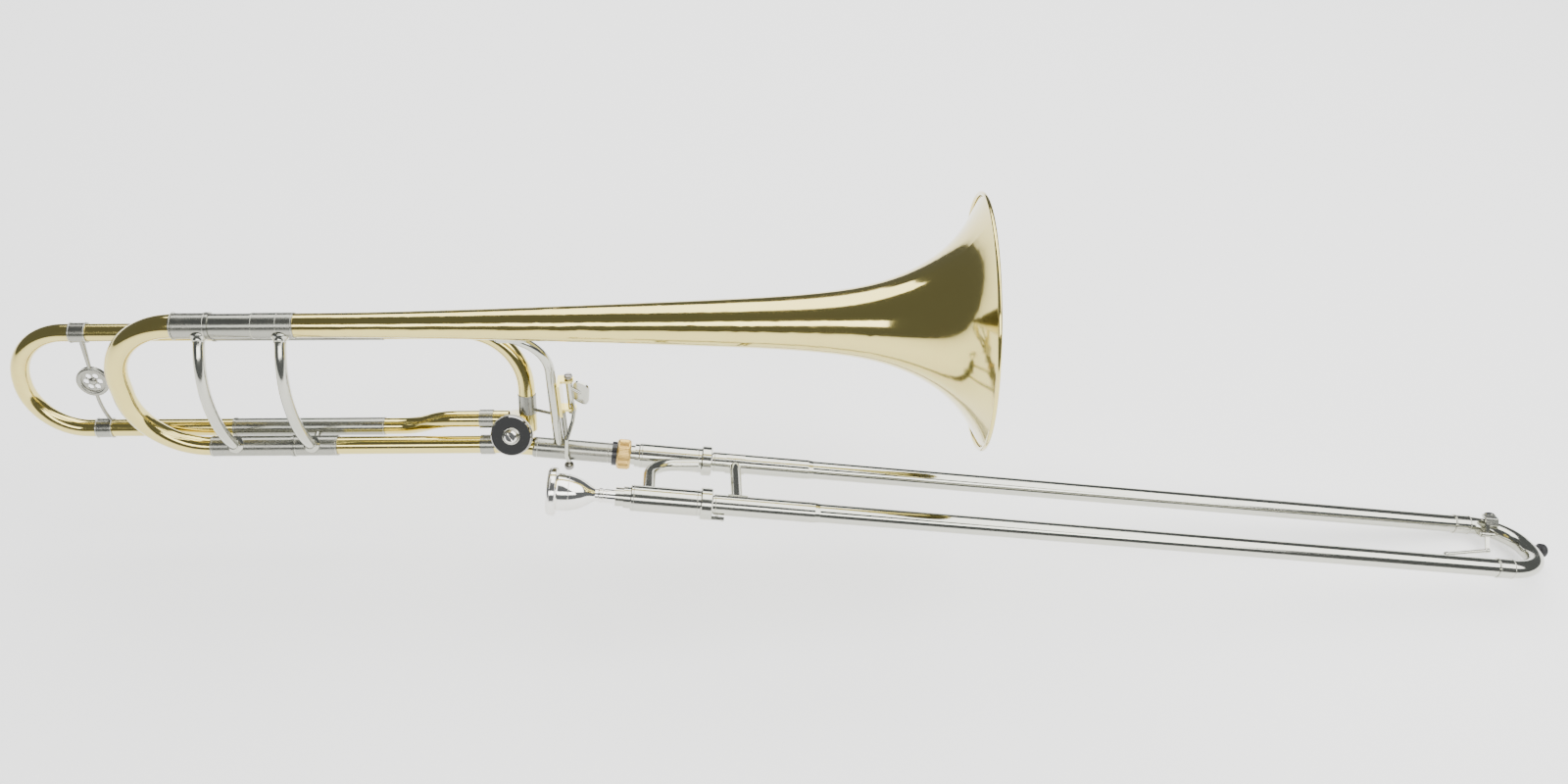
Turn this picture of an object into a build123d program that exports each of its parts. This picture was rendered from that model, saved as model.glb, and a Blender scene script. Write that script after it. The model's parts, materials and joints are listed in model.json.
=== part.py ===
from build123d import *
from math import asin, atan2, cos, degrees, radians, sin, sqrt
import os

# Tenor trombone with an open-wrap F attachment, a rotary valve and a thumb lever.
# Frame: the origin is the centre of the bell mouth, +X points out of the bell, +Z is up,
# and the bell and the neckpipe lie in the XZ plane. Millimetres.

os.makedirs("parts", exist_ok=True)

# ---------------------------------------------------------------- driving dimensions
# bell
bell_length = 536.0          # bell mouth to the end of the stem
bell_radius = 101.6
stem_radius = 9.6
sheet = 0.6                  # wall of the bell and of the brass tubes
rim_wire_radius = 1.1
rim_fit = 0.05

# legs of the bell section
leg_spacing = 128.4          # bell axis to neckpipe axis
sliding_fit = 0.05           # radial clearance of every telescoping pair
end_gap = 0.2                # axial gap between a closed slide and its stop
ferrule_wall = 0.5
ring_width = 2.0
ring_height = 0.6

# main tuning slide
bell_ferrule_length = 33.4
upper_tube_length = 34.1     # visible outer tube, bell ferrule to bow ferrule
bow_ferrule_length = 27.8
bow_reach = 57.7             # bow ferrule to the centreline of the bow's back
bow_bend = 57.2
upper_inner_radius = 8.9     # outside of the sliding tube in the upper leg
bow_upper_radius = 9.4
bow_lower_radius = 7.8
inner_wall = 0.5
neck_ferrule_length = 35.7
neck_ferrule_setback = 26.5  # from the bell ferrule's front to the neck ferrule's back
lower_outer_length = 69.0
lower_outer_radius = 8.5
lower_inner_radius = 7.8
neckpipe_radius = 7.5
socket_depth = 12.0          # how far a tube's end sits inside its ferrule
main_engagement = 56.0

# arched braces
arch_radius = 4.6
brace_radius = 4.0           # front brace
brace_wall = 0.8
brace_arch = 28.0
brace_peak = 52.0            # below the bell axis, where the arch stands furthest out
rear_brace_setback = 11.0    # behind the stem's end
bow_brace_setback = 74.0

# rotary valve
valve_setback = 156.0        # in front of the stem's end
port_offset = 11.0
port_tilt = 30.0             # rotor axis above the horizontal
rotor_radius = 14.0
rotor_fit = 0.05
rotor_half_length = 12.8
casing_wall = 1.55
casing_half_length = 13.0
groove_radius = 6.4
spindle_radius = 3.0
cap_radius = 16.8
cap_height = 5.0
nub_radius = 5.4
nub_height = 3.2
plate_thickness = 3.0
valve_ferrule_length = 11.5
valve_ferrule_start = 28.0   # from the rotor axis
knuckle_reach = 22.0         # from the rotor axis

# F attachment
f_lower_y, f_lower_z = 21.0, 2.4        # from the neckpipe axis
f_upper_y, f_upper_z = 36.0, -35.0      # from the bell axis
f_leg_radius = 7.3
f_inner_radius = 6.9
f_bore_wall = 0.5
f_sleeve_radius = 7.5
f_sleeve_back = 82.0         # sleeve's back end, behind the stem's end
f_lower_sleeve_length = 127.0
f_upper_sleeve_length = 138.0
f_leg_length = 101.0         # visible brass leg
f_ferrule_length = 14.0
f_bow_reach = 58.7
f_bow_bend = 45.0
f_engagement = 108.0
f_pipe_radius = 6.95
gooseneck_bend = 38.0
return_bend_radius = 50.0
return_port_offset = 12.4
return_ferrule = (17.0, 33.4)           # along the drop, from the rotor axis
return_pipe_end = 25.0
medallion_radius = 13.3
medallion_inner_radius = 9.4
medallion_thickness = 3.0
medallion_web = 1.2
petal_radius = 2.3
petal_circle = 5.6
petal_count = 6

# front bell brace, trigger bracket and lever
front_brace_x = 37.0         # in front of the rotor axis
front_brace_bend = 34.0
front_brace_foot = 42.0      # how far back it meets the stem
front_flange_height = -14.6
front_flange_back = 27.0
front_flange_length, front_flange_width = 27.0, 11.0
support_rod_radius = 2.2
lever_axis_x, lever_axis_y = 50.0, 7.0  # from the rotor axis and the bell plane
bracket_top = 66.4 - leg_spacing
bracket_bottom = 33.4 - leg_spacing
bracket_plate = 2.5
bracket_width, bracket_mid = 15.0, 3.5
ear_thickness = 2.5
pin_radius = 1.4
hub_radius = 2.8
lever_travel = 31.6          # degrees
lever_rod_radius = 1.6
ball_radius = 2.5
ball_offset = (-5.0, -17.5, -15.1 - leg_spacing)     # from the lever axis; the last is a height
crank_radius = 7.0
link_radius = 1.0
link_gap = 0.4

# hand slide
slide_slope = 7.18           # below the bell axis
slide_roll = 17.9            # mouthpiece tube above the level of the upper tube
slide_spacing = 78.0
slide_crossing = 7.5         # behind the rotor axis, where it crosses the neckpipe axis
slide_lead = 19.2            # from the zero of the slide's lengths to that crossing
receiver_start, receiver_end = 41.9, 107.8
receiver_wall = 0.85
thread_end = 118.0
tenon_wall = 0.75
thread_wall = 0.25
tenon_start = 82.0
nut_start, nut_end = 112.0, 123.5
nut_wall = 4.25
washer_wall = 2.15
collar_end = 126.9
barrel_ring_end = 130.3
lower_barrel_start = 121.0
lower_collar_end = 126.5
lower_collar_wall = 1.1
barrel_end = 183.0
flange_end = 192.0
flange_step = 2.2
barrel_bore_gap = 0.5
barrel_wall = 2.3
barrel_wall_depth = 18.0
cork_depth = 12.0
inner_tube_radius = 6.95
stocking_step = 0.15
stocking_length = 110.0
inner_tube_end = 861.0
outer_tube_wall = 0.45
sleeve_wall = 0.7
slide_end = 862.5            # outer tubes meet the crook inside the end ferrules
sleeve_end = 278.4
end_ferrule = (855.5, 870.0)
end_ferrule_wall = 0.6
outer_brace_at = 212.0
outer_brace_radius = 4.8
saddle_length = 16.0
saddle_thickness = 0.9
hand_brace_at = 140.5
hand_brace_radius = 5.2
hand_brace_bend = 24.0
crook_corner = 34.0          # the crook's two bends
crook_reach = 34.5           # end ferrule to the centreline of the crook's back
bumper_radius = 6.2
bumper_neck = 4.6
bumper_length = 10.5
bumper_dome = 4.4
bumper_flat = 2.2
bumper_pin = 3.2

# slide lock
lock_seat_wall = 1.2
lock_ring_wall = 3.5
lock_ring_start = 182.2
lock_hook_angle = 50.0       # from the slide's plane
lock_stud_angle = 102.0
lock_hook_reach = 12.0
hook_width = 3.2
hook_gap, hook_depth = 1.6, 2.6
tooth_length, tooth_reach = 2.4, 3.4
lock_stud_radius = 1.4

# mouthpiece and its receiver
mouthpiece_rim = 60.5
rim_radius = 19.2
shank_start, shank_end = 106.0, 143.0
shank_start_radius, shank_end_radius = 5.5, 4.9
bead_start, bead_radius = 101.0, 5.9
leadpipe_end = 210.0
leadpipe_radius = 6.4
mouthpiece_receiver_start = 114.5
mouthpiece_receiver_radius = 7.5

# water key
key_at = 879.5
key_pivot_y = 16.5
nipple_ahead = 8.0           # from the hinge towards the crook's back
nipple_angle = 120.0         # from the slide's plane, over the tube
nipple_end = 9.4
key_pin_radius = 1.2
key_hub_radius = 2.5
key_fit = 0.06
nipple_radius = 3.6
cork_radius = 4.8
lug_span = 5.6
lug_thickness = 2.2
lug_radius = 2.6
strap_angle = 54.0           # below the slide's plane
strap_front = 14.2
arm_rise, arm_width, arm_depth = 12.6, 3.6, 2.0
finger_length = 40.0
finger_radius = 1.6


# Everything that telescopes on the inner slide tube follows its size.
stocking_radius = inner_tube_radius + stocking_step
outer_tube_radius = stocking_radius + sliding_fit + outer_tube_wall
sleeve_radius = outer_tube_radius + sleeve_wall
end_ferrule_radius = outer_tube_radius + end_ferrule_wall
barrel_bore = outer_tube_radius + barrel_bore_gap
barrel_radius = barrel_bore + barrel_wall
flange_radius = barrel_radius + flange_step
lock_seat_radius = barrel_bore + lock_seat_wall
lock_ring_radius = lock_seat_radius + lock_ring_wall
hook_height = sleeve_radius + hook_gap + hook_depth / 2
tenon_radius = inner_tube_radius + tenon_wall
thread_radius = tenon_radius + sliding_fit + thread_wall
receiver_radius = tenon_radius + receiver_wall + sliding_fit
nut_radius = thread_radius + nut_wall
washer_radius = thread_radius + washer_wall
collar_radius = thread_radius + thread_wall
barrel_ring_radius = barrel_radius - ring_height

# ---------------------------------------------------------------- frames of the tubes
# Each line is a plane whose local X runs along a tube's axis, so that local (x, y)
# is (distance along the tube, distance from its axis).
def line(origin, along=(1, 0, 0), normal=(0, -1, 0)):
    return Plane(origin=origin, x_dir=along, z_dir=normal)


def at(tube_line, distance):
    """The plane across a tube's axis, at a distance along it."""
    origin = tube_line.origin + tube_line.x_dir * distance
    return Plane(origin=origin, x_dir=tube_line.y_dir, z_dir=tube_line.x_dir)


def rolled(tube_line, angle):
    """The same line with its side turned about the tube, in degrees."""
    side = tube_line.z_dir.rotate(Axis((0, 0, 0), tube_line.x_dir), angle)
    return line(tube_line.origin, tube_line.x_dir, side)


def axis_of(tube_line):
    return Axis(tube_line.origin, tube_line.x_dir)


def ring(plane, outer, inner=0.0):
    """A round section, hollow if it has an inner radius."""
    with BuildSketch(plane) as section:
        Circle(outer)
        if inner:
            Circle(inner, mode=Mode.SUBTRACT)
    return section.sketch


def outline(plane, *points):
    """A closed outline of straight sides."""
    with BuildSketch(plane) as section:
        with BuildLine():
            Polyline(*points, close=True)
        make_face()
    return section.sketch


def tube(tube_line, start, end, outer, inner=0.0, mode=Mode.ADD):
    """A straight tube or rod in the current part."""
    extrude(ring(at(tube_line, start), outer, inner), amount=end - start, mode=mode)


def turned(tube_line, *points, mode=Mode.ADD):
    """A turned piece in the current part, from its (distance, radius) outline."""
    revolve(outline(tube_line, *points), axis=axis_of(tube_line), mode=mode)


def bent(path, outer, inner=0.0, mode=Mode.ADD):
    """A tube or rod swept along a path of runs and arcs, in the current part."""
    start = Plane(origin=path @ 0, z_dir=path % 0)
    sweep(ring(start, outer, inner), path=path, mode=mode)


def rod(start, end, radius):
    """A straight rod between two points, in the current part."""
    span = Vector(*end) - Vector(*start)
    extrude(ring(Plane(origin=start, z_dir=span), radius), amount=span.length)


def rounded_path(plane, points, radius):
    with BuildLine(plane) as path:
        FilletPolyline(*points, radius=radius)
    return path.line


def finish(piece, name):
    """Names a finished piece and writes it."""
    piece.part.label = name
    export_step(piece.part, f"parts/{name}.step")


back = -bell_length
bell_line = line((0, 0, 0))
neck_line = line((0, 0, -leg_spacing))
f_lower_line = line((0, f_lower_y, f_lower_z - leg_spacing))
f_upper_line = line((0, f_upper_y, f_upper_z))

valve_x = back + valve_setback
port_up = Vector(0, sin(radians(port_tilt)), cos(radians(port_tilt)))
rotor_dir = Vector(0, -cos(radians(port_tilt)), sin(radians(port_tilt)))
valve_centre = Vector(valve_x, 0, -leg_spacing) + port_up * port_offset
valve_plane = Plane(origin=valve_centre, x_dir=(1, 0, 0), z_dir=rotor_dir)
rotor_line = line(valve_centre, rotor_dir, (1, 0, 0))
f_port_line = line(valve_centre + port_up * port_offset - Vector(valve_x, 0, 0))

slope = radians(slide_slope)
roll = radians(slide_roll)
slide_dir = Vector(cos(slope), 0, -sin(slope))
slide_up = Vector(sin(slope), 0, cos(slope))
across = Vector(0, -cos(roll), 0) + slide_up * sin(roll)
slide_origin = Vector(valve_x - slide_crossing, 0, -leg_spacing) - slide_dir * slide_lead
slide_line = line(slide_origin, slide_dir, slide_dir.cross(across))
mouth_line = line(slide_origin + across * slide_spacing, slide_dir, slide_dir.cross(across))

# ---------------------------------------------------------------- bell
# Stations of the bell's outside, from the stem to the rim. At the rim the sheet runs
# into a curl that is rolled back round a wire.
rim_curl = rim_wire_radius + rim_fit + sheet
wire_centre = (-rim_curl, bell_radius - rim_curl)
lip_angle = radians(67)      # slope of the sheet where it meets the curl
lip_side = (sin(lip_angle), -cos(lip_angle))
stem_end = back - socket_depth
bell_stations = [
    (back, stem_radius),
    (-0.75 * bell_length, 11.8),
    (-290, 15.5),
    (-200, 19.0),
    (-125, 24.0),
    (-80, 32.0),
    (-49, 44.5),
    (-18, 70.0),
    (wire_centre[0] + (rim_curl - sheet) * lip_side[0],
     wire_centre[1] + (rim_curl - sheet) * lip_side[1]),
]
end_slopes = [(1, 0), (cos(lip_angle), sin(lip_angle))]
with BuildLine() as bell_outside:
    outer_curve = Spline(*bell_stations, tangents=end_slopes)
bell_inner_stations = []
for station in bell_stations:
    slant = outer_curve % outer_curve.param_at_point(Vector(*station))
    bell_inner_stations.append((station[0] + sheet * slant.Y, station[1] - sheet * slant.X))

with BuildPart() as bell:
    with BuildSketch(Plane.XZ):
        with Locations(wire_centre):
            Circle(rim_curl)
            Circle(rim_curl - sheet, mode=Mode.SUBTRACT)
            Rectangle(2 * rim_curl, 2 * rim_curl, rotation=degrees(lip_angle) - 90,
                      align=(Align.MIN, Align.MAX), mode=Mode.SUBTRACT)
        with BuildLine():
            Line((stem_end, stem_radius), (back, stem_radius))
            Spline(*bell_stations, tangents=end_slopes)
            Line(bell_stations[-1], bell_inner_stations[-1])
            Spline(*bell_inner_stations, tangents=end_slopes)
            Polyline(bell_inner_stations[0], (stem_end, stem_radius - sheet), (stem_end, stem_radius))
        make_face()
    revolve(axis=Axis.X)
finish(bell, "bell")

with BuildPart() as rim_wire:
    with BuildSketch(Plane.XZ):
        with Locations(wire_centre):
            Circle(rim_wire_radius)
    revolve(axis=Axis.X)
finish(rim_wire, "rim_wire")

# The bell's outside as a solid, to fit the brace that is soldered to it.
with BuildPart() as bell_solid:
    with BuildSketch(Plane.XZ):
        with BuildLine():
            Spline(*bell_stations, tangents=end_slopes)
            Polyline(bell_stations[0], (bell_stations[0][0], 0), (bell_stations[-1][0], 0),
                     bell_stations[-1])
        make_face()
    revolve(axis=Axis.X)

# ---------------------------------------------------------------- upper leg
ferrule_radius = stem_radius + ferrule_wall
bell_ferrule_end = back - bell_ferrule_length
upper_end = bell_ferrule_end - upper_tube_length

with BuildPart() as bell_ferrule:
    tube(bell_line, bell_ferrule_end, back, ferrule_radius, stem_radius)
finish(bell_ferrule, "bell_ferrule")

upper_outer_bore = upper_inner_radius + sliding_fit
with BuildPart() as upper_tuning_tube:
    tube(bell_line, upper_end, stem_end, stem_radius, upper_outer_bore)
    tube(bell_line, upper_end, upper_end + ring_width, ferrule_radius + ring_height, stem_radius)
finish(upper_tuning_tube, "upper_tuning_tube")

# ---------------------------------------------------------------- main tuning slide
bow_face = upper_end - end_gap
bow_ferrule_end = bow_face - bow_ferrule_length
bow_upper_start = bow_ferrule_end + socket_depth
lower_end = back - neck_ferrule_setback
lower_face = lower_end - end_gap
lower_outer_end = lower_face - lower_outer_length
bow_lower_start = lower_outer_end + socket_depth

with BuildPart() as bow_ferrule:
    tube(bell_line, bow_ferrule_end, bow_face, ferrule_radius, upper_inner_radius)
    tube(bell_line, bow_ferrule_end, bow_upper_start, bow_upper_radius, mode=Mode.SUBTRACT)
    tube(bell_line, bow_face - ring_width, bow_face, ferrule_radius + ring_height, ferrule_radius)
finish(bow_ferrule, "bow_ferrule")

with BuildPart() as tuning_inner_tube:
    tube(bell_line, bow_upper_start, upper_end + main_engagement,
         upper_inner_radius, upper_inner_radius - inner_wall)
finish(tuning_inner_tube, "tuning_inner_tube")

bow_back = bow_ferrule_end - bow_reach
bow_path = rounded_path(
    Plane.XZ,
    [(bow_ferrule_end, 0), (bow_back, 0), (bow_back, -leg_spacing), (lower_outer_end, -leg_spacing)],
    bow_bend,
)
with BuildPart() as main_bow:
    for step, mode in ((0.0, Mode.ADD), (inner_wall, Mode.SUBTRACT)):
        bow_sections = [
            ring(Plane(origin=bow_path @ 0, z_dir=bow_path % 0), bow_upper_radius - step),
            ring(Plane(origin=bow_path @ 1, z_dir=bow_path % 1), bow_lower_radius - step),
        ]
        sweep(bow_sections, path=bow_path, multisection=True, mode=mode)
        tube(bell_line, bow_ferrule_end, bow_upper_start, bow_upper_radius - step, mode=mode)
        tube(neck_line, lower_outer_end, bow_lower_start, bow_lower_radius - step, mode=mode)
finish(main_bow, "main_bow")

lower_outer_bore = lower_inner_radius + sliding_fit
with BuildPart() as tuning_outer_tube:
    tube(neck_line, lower_outer_end, lower_face, lower_outer_radius, lower_outer_bore)
    tube(neck_line, lower_face - ring_width, lower_face,
         lower_outer_radius + ring_height, lower_outer_radius)
finish(tuning_outer_tube, "tuning_outer_tube")


def arched_path(x):
    """Two arcs that meet at the arch's peak, from the upper leg to the lower one."""
    with BuildLine(Plane.YZ.offset(x)) as path:
        RadiusArc((0, 0), (-brace_arch, -brace_peak), arch_bend(brace_peak))
        RadiusArc((-brace_arch, -brace_peak), (0, -leg_spacing), arch_bend(leg_spacing - brace_peak))
    return path.line


def arch_bend(drop):
    """The radius of an arc that stands upright at the peak and is in the bell plane after a drop."""
    return -(brace_arch ** 2 + drop ** 2) / (2 * brace_arch)


bow_brace_x = back - bow_brace_setback
with BuildPart() as bow_brace:
    bent(arched_path(bow_brace_x), arch_radius, arch_radius - brace_wall)
    tube(bell_line, bow_brace_x - 20, bow_brace_x + 20, ferrule_radius, mode=Mode.SUBTRACT)
    tube(neck_line, bow_brace_x - 20, bow_brace_x + 20, lower_outer_radius, mode=Mode.SUBTRACT)
finish(bow_brace, "bow_brace")

# ---------------------------------------------------------------- lower leg
neck_ferrule_front = lower_end + neck_ferrule_length
neckpipe_start = neck_ferrule_front - socket_depth - 6.0
neckpipe_end = valve_x - knuckle_reach

with BuildPart() as neck_ferrule:
    tube(neck_line, lower_end, neck_ferrule_front, lower_outer_radius, neckpipe_radius)
    tube(neck_line, lower_end, neckpipe_start, lower_inner_radius, mode=Mode.SUBTRACT)
finish(neck_ferrule, "neck_ferrule")

with BuildPart() as neck_inner_tube:
    tube(neck_line, bow_lower_start + 2.0, neckpipe_start,
         lower_inner_radius, lower_inner_radius - inner_wall)
finish(neck_inner_tube, "neck_inner_tube")

with BuildPart() as neckpipe:
    tube(neck_line, neckpipe_start, neckpipe_end, neckpipe_radius, neckpipe_radius - sheet)
finish(neckpipe, "neckpipe")

rear_brace_x = back - rear_brace_setback
with BuildPart() as rear_bell_brace:
    bent(arched_path(rear_brace_x), arch_radius, arch_radius - brace_wall)
    tube(bell_line, rear_brace_x - 20, rear_brace_x + 20, ferrule_radius, mode=Mode.SUBTRACT)
    tube(neck_line, rear_brace_x - 20, rear_brace_x + 20, lower_outer_radius, mode=Mode.SUBTRACT)
finish(rear_bell_brace, "rear_bell_brace")

# ---------------------------------------------------------------- rotary valve
casing_bore = rotor_radius + rotor_fit
casing_radius = casing_bore + casing_wall

# The return pipe drops from the upper F leg into the valve in this plane.
drop = Vector(0, f_upper_y, f_upper_z) - Vector(0, valve_centre.Y, valve_centre.Z)
drop_length = drop.length
return_plane = Plane(origin=valve_centre, x_dir=(1, 0, 0), z_dir=Vector(1, 0, 0).cross(drop))
return_line = line(valve_centre + Vector(return_port_offset, 0, 0), drop, (1, 0, 0))

with BuildPart() as valve_casing:
    tube(rotor_line, -casing_half_length, casing_half_length, casing_radius)
    tube(neck_line, neckpipe_end, valve_x - 4, neckpipe_radius)
    tube(f_port_line, neckpipe_end, valve_x - 4, f_pipe_radius)
    tube(return_line, 2, return_pipe_end, f_pipe_radius)
    tube(slide_line, 30, receiver_start + 5, neckpipe_radius)
    tube(neck_line, neckpipe_end, valve_x - 4, neckpipe_radius - sheet, mode=Mode.SUBTRACT)
    tube(f_port_line, neckpipe_end, valve_x - 4, f_pipe_radius - sheet, mode=Mode.SUBTRACT)
    tube(return_line, 2, return_pipe_end, f_pipe_radius - sheet, mode=Mode.SUBTRACT)
    tube(slide_line, 30, receiver_start + 5, neckpipe_radius - sheet, mode=Mode.SUBTRACT)
    tube(rotor_line, -casing_half_length, casing_half_length, casing_bore, mode=Mode.SUBTRACT)
finish(valve_casing, "valve_casing")

with BuildPart() as valve_ferrules:
    for pipe_line, pipe_radius in ((neck_line, neckpipe_radius), (f_port_line, f_pipe_radius)):
        start = valve_x - valve_ferrule_start
        tube(pipe_line, start, start + valve_ferrule_length, pipe_radius + 0.8, pipe_radius)
finish(valve_ferrules, "valve_ferrules")

with BuildPart() as valve_cap:
    turned(rotor_line,
           (casing_half_length, 0),
           (casing_half_length, cap_radius - 0.6),
           (casing_half_length + 0.6, cap_radius),
           (casing_half_length + cap_height - 0.8, cap_radius),
           (casing_half_length + cap_height, cap_radius - 0.8),
           (casing_half_length + cap_height, nub_radius),
           (casing_half_length + cap_height + nub_height, 1.6),
           (casing_half_length + cap_height + nub_height, 0))
finish(valve_cap, "valve_cap")

plate_face = -casing_half_length - plate_thickness
bumper_circle = 11.0
bumper_pad_radius = 2.0
arm_half_width = 2.0
arm_rest_angle = 225.0
bumper_swing = degrees(asin((bumper_pad_radius + arm_half_width + 0.1) / bumper_circle))
bumper_angles = (arm_rest_angle - bumper_swing, arm_rest_angle + 90 + bumper_swing)
arm_thickness = 2.4
arm_start = plate_face - 1.0

with BuildPart() as valve_back_plate:
    tube(rotor_line, plate_face, -casing_half_length, casing_radius - 0.2,
         spindle_radius + rotor_fit)
finish(valve_back_plate, "valve_back_plate")

with BuildPart() as stop_bumpers:
    with BuildSketch(valve_plane.offset(plate_face)):
        for angle in bumper_angles:
            with Locations((bumper_circle * cos(radians(angle)), bumper_circle * sin(radians(angle)))):
                Circle(bumper_pad_radius)
    extrude(amount=-(arm_thickness + 1.0))
finish(stop_bumpers, "stop_bumpers")

with BuildPart() as rotor:
    tube(rotor_line, -rotor_half_length, rotor_half_length, rotor_radius)
    for side in (-port_offset, port_offset):
        groove_line = line(valve_centre + port_up * side)
        tube(groove_line, -20, 20, groove_radius, mode=Mode.SUBTRACT)
    tube(rotor_line, arm_start - arm_thickness - 0.2, -rotor_half_length + 1, spindle_radius)
finish(rotor, "rotor")

with BuildPart() as stop_arm:
    with BuildSketch(valve_plane.offset(arm_start)):
        Circle(5.2)
        with Locations(Rotation(0, 0, arm_rest_angle)):
            with Locations((6.0, 0)):
                SlotOverall(12.0, 2 * arm_half_width)
        Circle(spindle_radius, mode=Mode.SUBTRACT)
    extrude(amount=-arm_thickness)
finish(stop_arm, "stop_arm")

# ---------------------------------------------------------------- F attachment, fixed pipes
sleeve_back = back - f_sleeve_back
f_sleeve_bore = f_inner_radius + sliding_fit


def f_sleeve(leg_line, length):
    """An outer sleeve of the F tuning slide, with its end ring, in the current part."""
    tube(leg_line, sleeve_back, sleeve_back + length, f_sleeve_radius, f_sleeve_bore)
    tube(leg_line, sleeve_back, sleeve_back + ring_width, f_sleeve_radius + ring_height, f_sleeve_radius)


with BuildPart() as f_lower_sleeve:
    f_sleeve(f_lower_line, f_lower_sleeve_length)
finish(f_lower_sleeve, "f_lower_sleeve")

with BuildPart() as f_upper_sleeve:
    f_sleeve(f_upper_line, f_upper_sleeve_length)
finish(f_upper_sleeve, "f_upper_sleeve")

rise = f_port_line.origin - f_lower_line.origin
gooseneck_plane = Plane(origin=f_lower_line.origin, x_dir=(1, 0, 0),
                        z_dir=Vector(1, 0, 0).cross(rise))
gooseneck_start = sleeve_back + f_lower_sleeve_length - socket_depth
gooseneck_path = rounded_path(
    gooseneck_plane,
    [(gooseneck_start, 0), (gooseneck_start + 36, 0), (gooseneck_start + 64, rise.length),
     (neckpipe_end, rise.length)],
    gooseneck_bend,
)
with BuildPart() as gooseneck:
    bent(gooseneck_path, f_pipe_radius, f_pipe_radius - sheet)
finish(gooseneck, "gooseneck")

return_start = sleeve_back + f_upper_sleeve_length - socket_depth - valve_x
return_path = rounded_path(
    return_plane,
    [(return_start, drop_length), (return_port_offset, drop_length),
     (return_port_offset, return_pipe_end)],
    return_bend_radius,
)
with BuildPart() as return_pipe:
    bent(return_path, f_pipe_radius, f_pipe_radius - sheet)
finish(return_pipe, "return_pipe")

with BuildPart() as return_collar:
    tube(return_line, return_ferrule[0], return_ferrule[1], f_pipe_radius + ferrule_wall, f_pipe_radius)
    tube(rotor_line, -casing_half_length, casing_half_length, casing_radius, mode=Mode.SUBTRACT)
finish(return_collar, "return_collar")

# ---------------------------------------------------------------- F tuning slide
f_face = sleeve_back - end_gap
f_ferrule_front = f_face - f_leg_length
f_leg_start = f_ferrule_front - f_ferrule_length / 2
f_lines = (f_lower_line, f_upper_line)

with BuildPart() as f_legs:
    for leg_line in f_lines:
        turned(leg_line,
               (f_leg_start, f_inner_radius - f_bore_wall),
               (f_leg_start, f_leg_radius),
               (f_face, f_leg_radius),
               (f_face, f_inner_radius),
               (sleeve_back + f_engagement, f_inner_radius),
               (sleeve_back + f_engagement, f_inner_radius - f_bore_wall))
finish(f_legs, "f_legs")

with BuildPart() as f_ferrules:
    for leg_line in f_lines:
        tube(leg_line, f_ferrule_front - f_ferrule_length, f_ferrule_front,
             f_leg_radius + 0.8, f_leg_radius)
finish(f_ferrules, "f_ferrules")

fall = f_lower_line.origin - f_upper_line.origin
f_plane = Plane(origin=f_upper_line.origin, x_dir=(1, 0, 0), z_dir=Vector(1, 0, 0).cross(fall))
f_bow_back = f_ferrule_front - f_ferrule_length - f_bow_reach + f_leg_radius
f_bow_path = rounded_path(
    f_plane,
    [(f_leg_start, 0), (f_bow_back, 0), (f_bow_back, fall.length), (f_leg_start, fall.length)],
    f_bow_bend,
)
with BuildPart() as f_bow:
    bent(f_bow_path, f_leg_radius, f_leg_radius - sheet)
finish(f_bow, "f_bow")

medallion_x = f_ferrule_front - f_ferrule_length / 2
ring_top = fall.length / 2 - medallion_radius + 0.6
with BuildPart() as medallion:
    with BuildSketch(f_plane.offset(-medallion_thickness / 2)):
        with Locations((medallion_x, fall.length / 2)):
            Circle(medallion_radius)
            Circle(medallion_inner_radius, mode=Mode.SUBTRACT)
    extrude(amount=medallion_thickness)
    with BuildSketch(f_plane.offset(-medallion_web / 2)):
        with Locations((medallion_x, fall.length / 2)):
            Circle(medallion_inner_radius)
            with PolarLocations(petal_circle, petal_count):
                Circle(petal_radius, mode=Mode.SUBTRACT)
    extrude(amount=medallion_web)
    rod_line = line(f_upper_line.origin + Vector(medallion_x, 0, 0), fall, (1, 0, 0))
    turned(rod_line, (0, 0), (0, 2.5), (ring_top, 1.6), (ring_top, 0))
    with BuildLine(f_plane) as lower_rod:
        ThreePointArc((medallion_x, fall.length - ring_top),
                      (medallion_x + 3, fall.length - 0.45 * ring_top),
                      (medallion_x + 10, fall.length))
    bent(lower_rod.line, 1.5)
    for leg_line in f_lines:
        tube(leg_line, medallion_x - 20, medallion_x + 20, f_leg_radius + 0.8, mode=Mode.SUBTRACT)
finish(medallion, "medallion")

# ---------------------------------------------------------------- receiver and lock nut
receiver_bore = tenon_radius - 1.1
tenon_bore = receiver_bore - 0.2
neck_of_tenon = tenon_radius - 0.7
tenon_lip = tenon_radius + 1.3
with BuildPart() as slide_receiver:
    turned(slide_line,
           (receiver_start, neckpipe_radius),
           (receiver_start, receiver_radius - 0.6),
           (receiver_start + 1.5, receiver_radius),
           (receiver_end, receiver_radius),
           (receiver_end, thread_radius),
           (thread_end, thread_radius),
           (thread_end, tenon_radius + sliding_fit),
           (tenon_start - 0.4, tenon_radius + sliding_fit),
           (tenon_start - 0.4, receiver_bore),
           (receiver_start + 5, receiver_bore),
           (receiver_start + 5, neckpipe_radius))
finish(slide_receiver, "slide_receiver")

with BuildPart() as receiver_washer:
    tube(slide_line, receiver_end, nut_start - end_gap, washer_radius, thread_radius)
finish(receiver_washer, "receiver_washer")

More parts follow.
